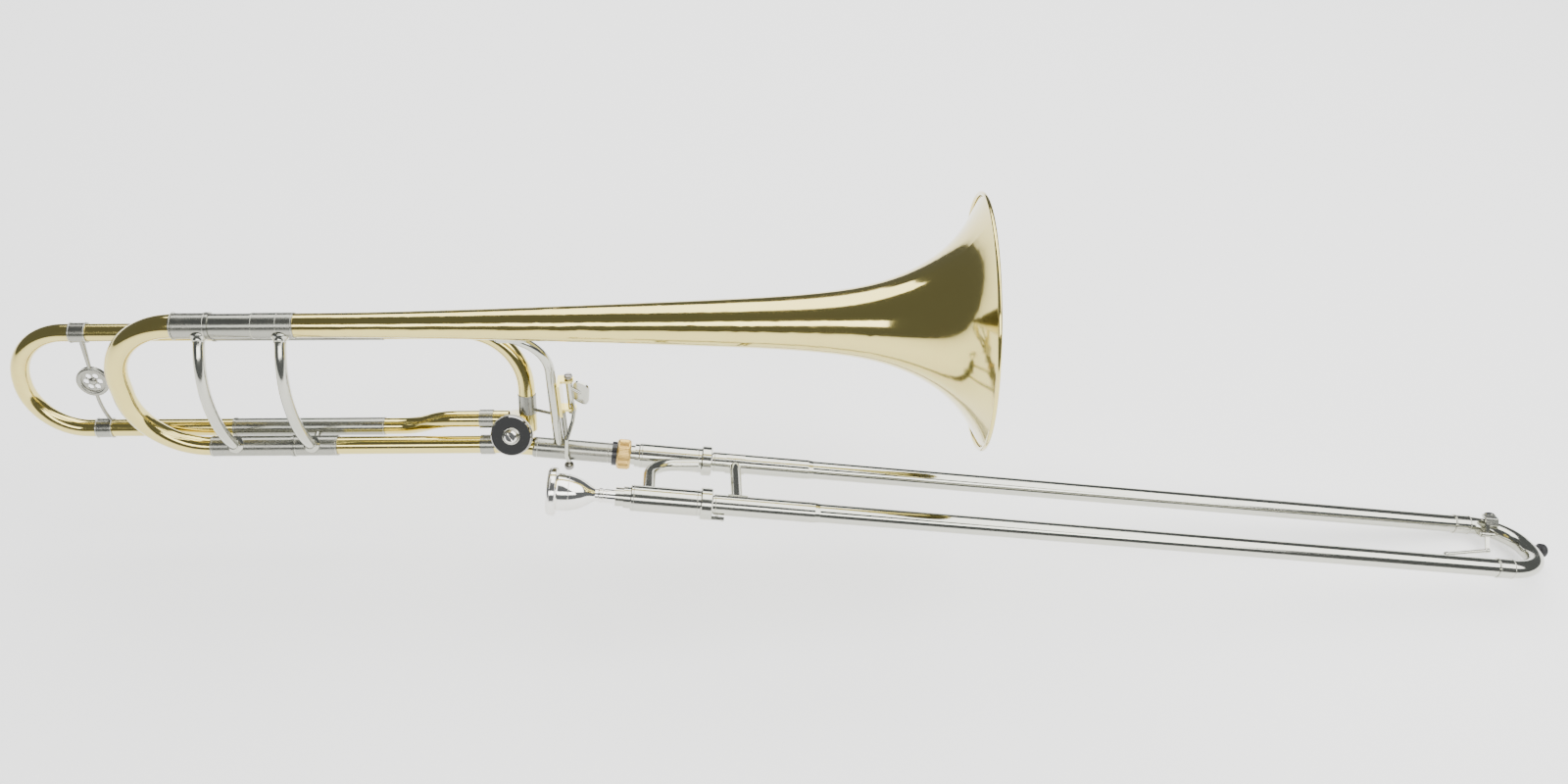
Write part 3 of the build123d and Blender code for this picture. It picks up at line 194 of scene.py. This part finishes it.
def make_groups():
    """The effects that several finishes share."""
    groups = {}

    # Soft patches where hands and breath have dulled the surface.
    group, given, out = new_group(
        "Handling",
        [("Clean", "Color", (1, 1, 1, 1)), ("Dull", "Color", (0.5, 0.5, 0.5, 1)),
         ("Scale", "Float", 18.0), ("Amount", "Float", 0.3), ("Roughness", "Float", 0.15),
         ("Spread", "Float", 0.08)],
        [("Color", "Color"), ("Roughness", "Float")])
    place = put(group, "ShaderNodeTexCoord").outputs["Object"]
    broad = put(group, "ShaderNodeTexNoise", {"Vector": place, "Scale": given["Scale"], "Detail": 4.0,
                                              "Roughness": 0.55}).outputs[0]
    fine_scale = maths(group, "MULTIPLY", given["Scale"], 9.0)
    fine = put(group, "ShaderNodeTexNoise", {"Vector": place, "Scale": fine_scale, "Detail": 5.0,
                                             "Roughness": 0.65}).outputs[0]
    patch = put(group, "ShaderNodeMapRange",
                {"Value": broad, "From Min": 0.45, "From Max": 0.72}).outputs[0]
    speck = put(group, "ShaderNodeMapRange",
                {"Value": fine, "From Min": 0.40, "From Max": 0.75}).outputs[0]
    mask = maths(group, "MULTIPLY", patch, maths(group, "ADD", maths(group, "MULTIPLY", speck, 0.7), 0.3))
    share = maths(group, "MULTIPLY", mask, given["Amount"])
    colour = put(group, "ShaderNodeMix", {0: share, 6: given["Clean"], 7: given["Dull"]}, data_type="RGBA")
    group.links.new(colour.outputs[2], out["Color"])
    rough = maths(group, "ADD", given["Roughness"], maths(group, "MULTIPLY", mask, given["Spread"]))
    rough = maths(group, "ADD", rough, maths(group, "MULTIPLY", maths(group, "SUBTRACT", fine, 0.5), 0.05))
    group.links.new(maths(group, "MAXIMUM", rough, 0.02), out["Roughness"])
    groups["handling"] = group

    # Fine lines that a draw bench, a buff or a lathe leaves along one direction.
    group, given, out = new_group(
        "ToolLines",
        [("Vector", "Vector", None), ("Stretch", "Vector", (1, 1, 1)), ("Scale", "Float", 900.0)],
        [("Lines", "Float")])
    stretched = put(group, "ShaderNodeVectorMath", {0: given["Vector"], 1: given["Stretch"]},
                    operation="MULTIPLY").outputs[0]
    lines = put(group, "ShaderNodeTexNoise", {"Vector": stretched, "Scale": given["Scale"], "Detail": 3.0,
                                              "Roughness": 0.6}).outputs[0]
    wide_scale = maths(group, "MULTIPLY", given["Scale"], 0.23)
    wide = put(group, "ShaderNodeTexNoise",
               {"Vector": stretched, "Scale": wide_scale, "Detail": 2.0}).outputs[0]
    both = maths(group, "ADD", maths(group, "MULTIPLY", lines, 0.7), maths(group, "MULTIPLY", wide, 0.3))
    group.links.new(both, out["Lines"])
    groups["lines"] = group

    # Bright rubbed edges.
    group, given, out = new_group("RubbedEdges", [("Radius", "Float", 0.0005), ("Strength", "Float", 4.0)],
                                  [("Mask", "Float")])
    soft = put(group, "ShaderNodeBevel", {"Radius": given["Radius"]}, samples=4).outputs[0]
    sharp = put(group, "ShaderNodeNewGeometry").outputs["Normal"]
    agree = put(group, "ShaderNodeVectorMath", {0: soft, 1: sharp},
                operation="DOT_PRODUCT").outputs["Value"]
    away = maths(group, "MULTIPLY", maths(group, "SUBTRACT", 1.0, agree), given["Strength"])
    broken = put(group, "ShaderNodeTexNoise",
                 {"Vector": put(group, "ShaderNodeTexCoord").outputs["Object"], "Scale": 420.0}).outputs[0]
    worn = maths(group, "MULTIPLY", away, maths(group, "ADD", broken, 0.4))
    group.links.new(put(group, "ShaderNodeClamp", {"Value": worn}).outputs[0], out["Mask"])
    groups["edges"] = group
    return groups


def metal(groups, name, colour, dull, rough, spread, amount=0.3, scale=18.0, way=None, spun=False,
          lines=0.02, coat=0.0, line_scale=900.0, edge=0.25):
    """A metal finish. Its tool lines run along a direction, or round +X when it is spun."""
    material = bpy.data.materials.new(name)
    material.use_nodes = True
    tree = material.node_tree
    shader = tree.nodes["Principled BSDF"]
    shader.inputs["Metallic"].default_value = 1.0
    shader.inputs["Coat Weight"].default_value = coat
    shader.inputs["Coat Roughness"].default_value = 0.06
    place = put(tree, "ShaderNodeTexCoord").outputs["Object"]
    if spun:
        apart = put(tree, "ShaderNodeSeparateXYZ", {0: place}).outputs
        radius = maths(tree, "SQRT", maths(tree, "ADD", maths(tree, "MULTIPLY", apart[1], apart[1]),
                                           maths(tree, "MULTIPLY", apart[2], apart[2])))
        ring = maths(tree, "SUBTRACT", radius, apart[0])
        place = put(tree, "ShaderNodeCombineXYZ", {0: ring, 1: 0.0, 2: 0.0}).outputs[0]
        stretch = (1, 1, 1)
    else:
        turn = (way or Vector((1, 0, 0))).rotation_difference(Vector((1, 0, 0))).to_euler()
        place = put(tree, "ShaderNodeMapping", {"Vector": place, "Rotation": turn}).outputs[0]
        stretch = (0.02, 1, 1)
    tool = put(tree, "ShaderNodeGroup", {}, node_tree=groups["lines"])
    tree.links.new(place, tool.inputs["Vector"])
    tool.inputs["Stretch"].default_value = stretch
    tool.inputs["Scale"].default_value = line_scale
    handled = put(tree, "ShaderNodeGroup", {}, node_tree=groups["handling"])
    for key, value in (("Clean", (*colour, 1)), ("Dull", (*dull, 1)), ("Scale", scale), ("Amount", amount),
                       ("Roughness", rough), ("Spread", spread)):
        handled.inputs[key].default_value = value
    rubbed = put(tree, "ShaderNodeGroup", {}, node_tree=groups["edges"])
    bright = tuple(min(1.0, c * 1.15 + 0.03) for c in colour)
    tint = put(tree, "ShaderNodeMix",
               {0: maths(tree, "MULTIPLY", rubbed.outputs["Mask"], edge), 6: handled.outputs["Color"],
                7: (*bright, 1)}, data_type="RGBA")
    tree.links.new(tint.outputs[2], shader.inputs["Base Color"])
    relief = lines * 4
    streak = maths(tree, "MULTIPLY", maths(tree, "SUBTRACT", tool.outputs["Lines"], 0.5), relief)
    tree.links.new(maths(tree, "ADD", handled.outputs["Roughness"], streak), shader.inputs["Roughness"])
    bump = put(tree, "ShaderNodeBump", {"Height": tool.outputs["Lines"], "Strength": relief,
                                        "Distance": 0.00004})
    tree.links.new(bump.outputs[0], shader.inputs["Normal"])
    return material


def dark(groups, name, colour, rough, grain, distance):
    """Rubber, synthetic cork or black plastic, with a moulded grain."""
    material = bpy.data.materials.new(name)
    material.use_nodes = True
    tree = material.node_tree
    shader = tree.nodes["Principled BSDF"]
    shader.inputs["Specular IOR Level"].default_value = 0.45
    handled = put(tree, "ShaderNodeGroup", {}, node_tree=groups["handling"])
    pale = tuple(c * 1.8 + 0.012 for c in colour)
    for key, value in (("Clean", (*colour, 1)), ("Dull", (*pale, 1)), ("Scale", 60.0), ("Amount", 0.6),
                       ("Roughness", rough), ("Spread", 0.2)):
        handled.inputs[key].default_value = value
    rubbed = put(tree, "ShaderNodeGroup", {}, node_tree=groups["edges"])
    tint = put(tree, "ShaderNodeMix",
               {0: maths(tree, "MULTIPLY", rubbed.outputs["Mask"], 0.5), 6: handled.outputs["Color"],
                7: (*pale, 1)}, data_type="RGBA")
    tree.links.new(tint.outputs[2], shader.inputs["Base Color"])
    tree.links.new(handled.outputs["Roughness"], shader.inputs["Roughness"])
    place = put(tree, "ShaderNodeTexCoord").outputs["Object"]
    pores = put(tree, "ShaderNodeTexNoise", {"Vector": place, "Scale": grain, "Detail": 3.0}).outputs[0]
    bump = put(tree, "ShaderNodeBump", {"Height": pores, "Strength": 0.5, "Distance": distance})
    tree.links.new(bump.outputs[0], shader.inputs["Normal"])
    return material


FINISHES = {}


def make_finishes(look):
    """Fills FINISHES, one material for each slot of the frame and one for the bell."""
    groups = make_groups()
    brass, patina, nickel = tuple(look.brass), tuple(look.brass_tarnish), tuple(look.nickel)
    grey = (0.45, 0.42, 0.35)
    satin = tuple(channel * 0.62 for channel in nickel)
    FINISHES["bell"] = metal(groups, "Bell_brass", brass, patina, 0.09, 0.07, spun=True, coat=0.5,
                             line_scale=2600.0, lines=0.012)
    FINISHES["brass_lacquered"] = metal(groups, "Lacquered_brass", brass, patina, 0.09, 0.07, coat=0.5)
    FINISHES["brass_legs"] = metal(groups, "Drawn_brass", brass, patina, 0.12, 0.08, coat=0.4)
    FINISHES["brass_raw"] = metal(groups, "Turned_brass", tuple(look.raw_brass), (0.33, 0.20, 0.07),
                                  0.30, 0.15, amount=0.6, scale=60.0, edge=0.6)
    FINISHES["nickel_satin"] = metal(groups, "Satin_nickel", satin, grey, 0.25, 0.10, lines=0.04, edge=0.4)
    FINISHES["nickel_bright"] = metal(groups, "Bright_nickel", nickel, grey, 0.13, 0.08, scale=30.0)
    FINISHES["nickel_tube"] = metal(groups, "Slide_nickel", nickel, grey, 0.10, 0.07, way=SLIDE_WAY)
    FINISHES["drawn_tube"] = metal(groups, "Chromed_tube", (0.80, 0.81, 0.82), grey, 0.06, 0.04,
                                   way=SLIDE_WAY)
    FINISHES["valve_cap_dark"] = metal(groups, "Valve_cap_nickel", (0.42, 0.41, 0.39),
                                       (0.25, 0.24, 0.22), 0.07, 0.06, scale=70.0)
    FINISHES["silver_plate"] = metal(groups, "Silver_plate", tuple(look.silver), (0.55, 0.50, 0.40),
                                     0.10, 0.06, scale=40.0, way=SLIDE_WAY)
    FINISHES["steel_dark"] = metal(groups, "Turned_steel", (0.28, 0.27, 0.25), (0.14, 0.13, 0.12),
                                   0.30, 0.12, scale=80.0, edge=0.5)
    rubber = tuple(look.rubber)
    # Black ring: a near-black band with a fine grain, at the gap between the slide receiver and the lock
    # nut.
    FINISHES["black_ring"] = dark(groups, "Black_ring", rubber, 0.22, 900.0, 0.00002)
    FINISHES["rubber_black"] = dark(groups, "Moulded_rubber", rubber, 0.50, 1500.0, 0.00006)
    FINISHES["cork_black"] = dark(groups, "Synthetic_cork", rubber, 0.62, 1100.0, 0.00010)


# ------------------------------------------------------------------ piece helpers
def to_piece(mesh_work, name, body, slot, finish=None, smooth=True):
    """Turns a bmesh into a piece that rides on a body with a finish."""
    bmesh.ops.remove_doubles(mesh_work, verts=mesh_work.verts, dist=1e-7)
    bmesh.ops.recalc_face_normals(mesh_work, faces=mesh_work.faces)
    mesh = bpy.data.meshes.new(name)
    mesh_work.to_mesh(mesh)
    mesh_work.free()
    if smooth:
        mesh.shade_smooth()
    piece = bpy.data.objects.new(name, mesh)
    bpy.context.scene.collection.objects.link(piece)
    mesh.materials.append(FINISHES[finish or slot])
    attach(piece, body)
    return piece


def joined(work, part, origin, way=Vector((1, 0, 0))):
    """Adds a part that was made along +X to a bmesh, at its place and direction."""
    bmesh.ops.transform(part, matrix=Matrix.Translation(origin) @ turned_to(way), verts=part.verts)
    mesh = bpy.data.meshes.new("part")
    part.to_mesh(mesh)
    part.free()
    work.from_mesh(mesh)
    bpy.data.meshes.remove(mesh)


def spun(profile, steps=64):
    """A part turned about +X from its closed (distance, radius) outline in millimetres."""
    part = bmesh.new()
    corners = [part.verts.new((x * MM, r * MM, 0)) for x, r in profile]
    sides = [part.edges.new((a, b)) for a, b in zip(corners, corners[1:] + corners[:1])]
    bmesh.ops.spin(part, geom=corners + sides, cent=(0, 0, 0), axis=(1, 0, 0), dvec=(0, 0, 0),
                   angle=2 * math.pi, steps=steps, use_merge=True)
    bmesh.ops.remove_doubles(part, verts=part.verts, dist=1e-7)
    return part


def bead_profile(radius, bead):
    """A half-round line on a tube, its foot just under the tube's surface."""
    foot = radius - 0.15
    turns = [math.radians(step * 30) for step in range(7)]
    crown = [(bead * math.cos(turn), radius + bead * math.sin(turn)) for turn in turns]
    return [(bead, foot), *crown, (-bead, foot)]


def slotted_head(radius, height, slot):
    """A screw head with a turned edge and a screwdriver's slot, made along +X."""
    part = spun([(0, 0), (0, radius), (0.45 * height, radius), (0.8 * height, 0.93 * radius),
                 (height, 0.72 * radius), (height, 0)], steps=48)
    for side in (-1, 1):
        bmesh.ops.bisect_plane(part, geom=part.verts[:] + part.edges[:] + part.faces[:],
                               plane_co=(0, side * slot / 2 * MM, 0), plane_no=(0, 1, 0), dist=1e-8)
    strip = [face for face in part.faces
             if face.calc_center_median().x > (height - 1e-3) * MM
             and abs(face.calc_center_median().y) < slot / 2 * MM]
    sunk = bmesh.ops.extrude_face_region(part, geom=strip)["geom"]
    bmesh.ops.translate(part, verts=[item for item in sunk if isinstance(item, bmesh.types.BMVert)],
                        vec=(-0.3 * height * MM, 0, 0))
    for face in strip:
        if face.is_valid:
            part.faces.remove(face)
    return part


def straight_tube(node):
    """A tube's two ends along X, the centre of its section and its radius, in millimetres."""
    low, high = (Vector(corner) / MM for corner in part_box(node))
    return low.x, high.x, (low.y + high.y) / 2, (low.z + high.z) / 2, (high.z - low.z) / 2


# ------------------------------------------------------------------ operators
class TROMBONE_OT_finishes(bpy.types.Operator):
    """Give every part of the frame its metal, rubber or cork"""
    bl_idname = "trombone.finishes"
    bl_label = "Finishes"

    def execute(self, context):
        make_finishes(context.scene.trombone_finish)
        slots = {part["node"]: part["material_slot"] for part in frame["record"]["subparts"]}
        for node, thing in frame["nodes"].items():
            thing.data.materials.clear()
            finish = "bell" if node == "bell" else slots[node]
            thing.data.materials.append(FINISHES[finish])
        return {"FINISHED"}


class TROMBONE_OT_nut_knurling(bpy.types.Operator):
    """Cut the lock nut's grip: ridges with a chamfer at each end"""
    bl_idname = "trombone.nut_knurling"
    bl_label = "Lock nut knurling"

    def execute(self, context):
        detail = context.scene.trombone_detail
        teeth, height = detail.knurls, detail.knurl_height / MM
        start, end = NUT_GRIP
        run_in, sunk, lift = 0.7, 0.25, 0.3
        part = bmesh.new()
        bmesh.ops.create_circle(part, segments=2 * teeth, radius=1.0)
        bmesh.ops.rotate(part, verts=part.verts, matrix=Matrix.Rotation(math.radians(90), 3, "Y"))
        part.verts.ensure_lookup_table()
        around = list(part.verts)
        last = part.edges[:]
        stations = [(start, 0.0), (start + run_in, 1.0), (end - run_in, 1.0), (end, 0.0)]
        ways = [vert.co.normalized() for vert in around]

        def shape(verts, along, share):
            for number, (vert, way) in enumerate(zip(verts, ways)):
                ridge = height * share if number % 2 else 0.0
                radius = NUT_RADIUS - sunk + lift * share + ridge
                vert.co = way * radius * MM + Vector((along * MM, 0, 0))

        shape(around, *stations[0])
        for along, share in stations[1:]:
            made = bmesh.ops.extrude_edge_only(part, edges=last)["geom"]
            fresh = [item for item in made if isinstance(item, bmesh.types.BMVert)]
            last = [item for item in made if isinstance(item, bmesh.types.BMEdge)
                    and item.verts[0] in fresh and item.verts[1] in fresh]
            around = [min(fresh, key=lambda vert: (vert.co - old.co).length) for old in around]
            shape(around, along, share)
        work = bmesh.new()
        joined(work, part, SLIDE_START, SLIDE_WAY)
        to_piece(work, "nut_knurling", "lock_nut", "brass_raw", smooth=False)
        return {"FINISHED"}


class TROMBONE_OT_ferrule_beads(bpy.types.Operator):
    """Turn the fine half-round lines at the ends of the ferrules and sleeves"""
    bl_idname = "trombone.ferrule_beads"
    bl_label = "Ferrule lines"

    def execute(self, context):
        bead = context.scene.trombone_detail.bead / MM
        inset, short_inset = 1.2, 0.8
        straight = {
            "bell_section": ("bell_ferrule", "neck_ferrule", "upper_tuning_tube", "f_lower_sleeve",
                             "f_upper_sleeve"),
            "main_tuning_slide": ("bow_ferrule", "tuning_outer_tube"),
        }
        sections = {node: straight_tube(node)[2:4] for node in ("f_lower_sleeve", "f_upper_sleeve")}
        for body, nodes in straight.items():
            work = bmesh.new()
            for node in nodes:
                first, last, y, z, radius = straight_tube(node)
                if node.startswith(("f_", "upper", "tuning")):
                    radius -= RING_HEIGHT
                for along in (first + inset, last - inset):
                    joined(work, spun(bead_profile(radius, bead)), Vector((along, y, z)) * MM)
            to_piece(work, body + "_lines", body, "nickel_bright")

        work = bmesh.new()
        first, last = straight_tube("f_ferrules")[:2]
        f_ferrule_radius, f_bead = 8.1, 1.4 * bead
        for y, z in sections.values():
            for along in (first + short_inset, last - short_inset):
                joined(work, spun(bead_profile(f_ferrule_radius, f_bead)), Vector((along, y, z)) * MM)
        to_piece(work, "f_ferrule_lines", "f_tuning_slide", "nickel_bright")

        # Each line is its distance along the slide, its tube's distance across and that tube's radius.
        lines = {
            "hand_slide": [(856.3, 0, 8.2), (869.2, 0, 8.2), (856.3, SLIDE_SPACING, 8.2),
                           (869.2, SLIDE_SPACING, 8.2), (194.2, 0, 8.3), (194.2, SLIDE_SPACING, 8.3)],
            "slide_section": [(133.0, 0, 10.4), (180.5, 0, 10.4), (129.0, SLIDE_SPACING, 10.4),
                              (179.5, SLIDE_SPACING, 10.4)],
            "bell_receiver": [(45.5, 0, 8.6), (104.5, 0, 8.6)],
        }
        for name, places in lines.items():
            work = bmesh.new()
            for along, across, radius in places:
                joined(work, spun(bead_profile(radius, bead)), on_slide(along, across), SLIDE_WAY)
            body = "bell_section" if name == "bell_receiver" else name
            to_piece(work, name + "_turned_lines", body, "nickel_bright")
        return {"FINISHED"}


class TROMBONE_OT_brace_feet(bpy.types.Operator):
    """Solder a coned foot on each end of the two arched braces"""
    bl_idname = "trombone.brace_feet"
    bl_label = "Brace feet"

    def execute(self, context):
        for node, body, leg_radii in (("rear_bell_brace", "bell_section", (10.1, 8.5)),
                                      ("bow_brace", "main_tuning_slide", (9.5, 8.5))):
            first, last = straight_tube(node)[:2]
            inside = 3.9
            work = bmesh.new()
            for height, drop, side, leg in ((0.0, BRACE_PEAK, -1, leg_radii[0]),
                                            (-LEG_SPACING, LEG_SPACING - BRACE_PEAK, 1, leg_radii[1])):
                bend = (BRACE_ARCH ** 2 + drop ** 2) / (2 * BRACE_ARCH)
                way = Vector((0, -drop, side * (bend - BRACE_ARCH))) / bend
                foot = spun([(leg - 1.5, inside), (leg - 1.5, 7.0), (leg + 0.4, 6.7), (leg + 1.2, 5.6),
                             (leg + 3.4, 4.9), (leg + 4.2, ARCH_RADIUS), (leg + 4.2, inside)])
                joined(work, foot, Vector(((first + last) / 2, 0, height)) * MM, way)
            to_piece(work, node + "_feet", body, "nickel_bright")
        return {"FINISHED"}


class TROMBONE_OT_screws(bpy.types.Operator):
    """Set the slotted nub of the valve cap and the screws of the trigger and the water key"""
    bl_idname = "trombone.screws"
    bl_label = "Screws"

    def execute(self, context):
        seat, edge = CAP_FACE - 0.1, CAP_RADIUS - 0.2
        work = bmesh.new()
        joined(work, spun([(seat, 5.2), (seat, 7.4), (seat + 0.6, 7.1), (seat + 0.6, 5.2)]),
               ROTOR_CENTRE * MM, ROTOR_WAY)
        joined(work, spun([(12.9, edge), (12.9, 17.3), (13.6, 17.5), (14.3, 17.3), (14.3, edge)]),
               ROTOR_CENTRE * MM, ROTOR_WAY)
        to_piece(work, "valve_cap_rings", "bell_section", "nickel_bright")

        work = bmesh.new()
        nub_foot = (ROTOR_CENTRE + ROTOR_WAY * (CAP_FACE - 0.2)) * MM
        joined(work, slotted_head(radius=5.5, height=4.2, slot=1.3), nub_foot, ROTOR_WAY)
        to_piece(work, "valve_cap_nub", "bell_section", "silver_plate", smooth=False)

        work = bmesh.new()
        low, high = (Vector(corner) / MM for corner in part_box("trigger_pin"))
        sunk = 0.6
        for height, way in ((high.z - sunk, Vector((0, 0, 1))), (low.z + sunk, Vector((0, 0, -1)))):
            foot = Vector(((low.x + high.x) / 2, (low.y + high.y) / 2, height))
            joined(work, slotted_head(radius=3.4, height=2.0, slot=0.8), foot * MM, way)
        to_piece(work, "trigger_screws", "bell_section", "steel_dark", smooth=False)

        work = bmesh.new()
        along, across = KEY_HINGE
        for side in (-1, 1):
            foot = on_slide(along + side * KEY_SCREW_REACH, across)
            joined(work, slotted_head(radius=2.0, height=1.2, slot=0.5), foot, SLIDE_WAY * side)
        to_piece(work, "water_key_screws", "hand_slide", "nickel_bright", smooth=False)
        return {"FINISHED"}


class TROMBONE_OT_mouthpiece_lines(bpy.types.Operator):
    """Turn the decorative lines on the mouthpiece"""
    bl_idname = "trombone.mouthpiece_lines"
    bl_label = "Mouthpiece lines"

    def execute(self, context):
        bead = context.scene.trombone_detail.bead / MM
        # Each line is its distance along the slide and the mouthpiece's radius there.
        rim_lines = [(62.9, 18.95), (66.9, 19.15)]
        cup_line = (77.5, 14.5)
        shank_lines = [(102.8, 5.9), (107.4, 5.45)]
        work = bmesh.new()
        for along, radius in (*rim_lines, cup_line, *shank_lines):
            joined(work, spun(bead_profile(radius, bead)), on_slide(along, SLIDE_SPACING), SLIDE_WAY)
        to_piece(work, "mouthpiece_lines", "mouthpiece", "silver_plate")
        return {"FINISHED"}


class TROMBONE_OT_rosette(bpy.types.Operator):
    """Raise a domed boss and a border on both faces of the medallion"""
    bl_idname = "trombone.rosette"
    bl_label = "Rosette"

    def execute(self, context):
        upper, lower = (Vector((0, *straight_tube(node)[2:4]))
                        for node in ("f_upper_sleeve", "f_lower_sleeve"))
        first, last = straight_tube("f_ferrules")[:2]
        centre = (upper + lower) / 2 + Vector(((first + last) / 2, 0, 0))
        fall = (lower - upper).normalized()
        face = Vector((1, 0, 0)).cross(fall)
        dome = [(0.3, 0), (0.3, 3.4), (1.0, 3.3), (1.5, 2.4), (1.8, 1.2), (1.9, 0)]
        border = [(1.2, 9.6), (1.2, 13.1), (1.7, 12.6), (2.0, 11.35), (1.7, 10.1)]
        work = bmesh.new()
        for side in (-1, 1):
            for profile in (dome, border):
                joined(work, spun(profile), centre * MM, face * side)
        to_piece(work, "medallion_boss", "f_tuning_slide", "nickel_satin")
        return {"FINISHED"}


class TROMBONE_OT_stage(bpy.types.Operator):
    """Set up the floor, the lights and the camera"""
    bl_idname = "trombone.stage"
    bl_label = "Studio"

    def execute(self, context):
        stage = context.scene.trombone_stage
        clearance = 1.5 * MM
        floor_centre = (-0.1, 0.6, CAD_BOX[0][2] - clearance)
        work = bmesh.new()
        bmesh.ops.create_grid(work, x_segments=1, y_segments=1, size=stage.floor_size / 2)
        bmesh.ops.translate(work, verts=work.verts, vec=floor_centre)
        mesh = bpy.data.meshes.new("floor")
        work.to_mesh(mesh)
        work.free()
        floor = bpy.data.objects.new("floor", mesh)
        context.scene.collection.objects.link(floor)
        pale = bpy.data.materials.new("Pale_floor")
        pale.use_nodes = True
        shader = pale.node_tree.nodes["Principled BSDF"]
        shader.inputs["Base Color"].default_value = (0.93, 0.93, 0.92, 1)
        shader.inputs["Roughness"].default_value = 0.9
        shader.inputs["Specular IOR Level"].default_value = 0.1
        shader.inputs["Emission Color"].default_value = (1, 1, 1, 1)
        shader.inputs["Emission Strength"].default_value = 0.9
        mesh.materials.append(pale)

        world = bpy.data.worlds.new("Studio")
        world.use_nodes = True
        surroundings = world.node_tree.nodes["Background"].inputs
        surroundings["Color"].default_value = (0.80, 0.84, 0.88, 1)
        surroundings["Strength"].default_value = 0.20
        context.scene.world = world

        trombone_middle = Vector((-0.15, 0, -0.1))
        for name, spot, size, power in (
                ("key", (0.5, 0.6, 2.1), (6.4, 2.2), stage.key_power),
                ("fill", (0.0, -2.4, 1.7), (3.6, 0.9), stage.fill_power)):
            light = bpy.data.lights.new(name, "AREA")
            light.shape = "RECTANGLE"
            light.size, light.size_y = size
            light.energy = power
            lamp = bpy.data.objects.new(name, light)
            lamp.location = spot
            lamp.rotation_euler = (trombone_middle - Vector(spot)).to_track_quat("-Z", "Y").to_euler()
            context.scene.collection.objects.link(lamp)

        lens = bpy.data.cameras.new("camera")
        lens.lens = stage.lens
        lens.sensor_width = 36
        lens.clip_start = 0.01
        camera = bpy.data.objects.new("camera", lens)
        eye = (-0.1720, -0.9051, 0.7204)
        right = Vector((0.99988, -0.0147, 0.0048)).normalized()
        ahead = Vector((0.0142, 0.7523, -0.6587)).normalized()
        up = right.cross(ahead)
        turn = Matrix((right, up, -ahead)).transposed().to_4x4()
        camera.matrix_world = Matrix.Translation(eye) @ turn
        context.scene.collection.objects.link(camera)
        context.scene.camera = camera
        return {"FINISHED"}


class TROMBONE_PT_panel(bpy.types.Panel):
    """Trombone pieces and studio"""
    bl_label = "Trombone"
    bl_idname = "TROMBONE_PT_panel"
    bl_space_type = "VIEW_3D"
    bl_region_type = "UI"
    bl_category = "Trombone"

    def draw(self, context):
        layout = self.layout
        scene = context.scene
        for group in (scene.trombone_finish, scene.trombone_detail, scene.trombone_stage):
            box = layout.box()
            for key in group.__annotations__:
                box.prop(group, key)
        for step in STEPS:
            layout.operator(step.bl_idname)


STEPS = (
    TROMBONE_OT_finishes,
    TROMBONE_OT_nut_knurling,
    TROMBONE_OT_ferrule_beads,
    TROMBONE_OT_brace_feet,
    TROMBONE_OT_screws,
    TROMBONE_OT_mouthpiece_lines,
    TROMBONE_OT_rosette,
    TROMBONE_OT_stage,
)
CLASSES = (TromboneFinish, TromboneDetail, TromboneStage, *STEPS, TROMBONE_PT_panel)


def register():
    for kind in CLASSES:
        bpy.utils.register_class(kind)
    bpy.types.Scene.trombone_finish = bpy.props.PointerProperty(type=TromboneFinish)
    bpy.types.Scene.trombone_detail = bpy.props.PointerProperty(type=TromboneDetail)
    bpy.types.Scene.trombone_stage = bpy.props.PointerProperty(type=TromboneStage)


def unregister():
    del bpy.types.Scene.trombone_finish
    del bpy.types.Scene.trombone_detail
    del bpy.types.Scene.trombone_stage
    for kind in reversed(CLASSES):
        bpy.utils.unregister_class(kind)


def main():
    register()
    bpy.ops.trombone.finishes()
    bpy.ops.trombone.nut_knurling()
    bpy.ops.trombone.ferrule_beads()
    bpy.ops.trombone.brace_feet()
    bpy.ops.trombone.screws()
    bpy.ops.trombone.mouthpiece_lines()
    bpy.ops.trombone.rosette()
    bpy.ops.trombone.stage()


if __name__ == "__main__":
    main()
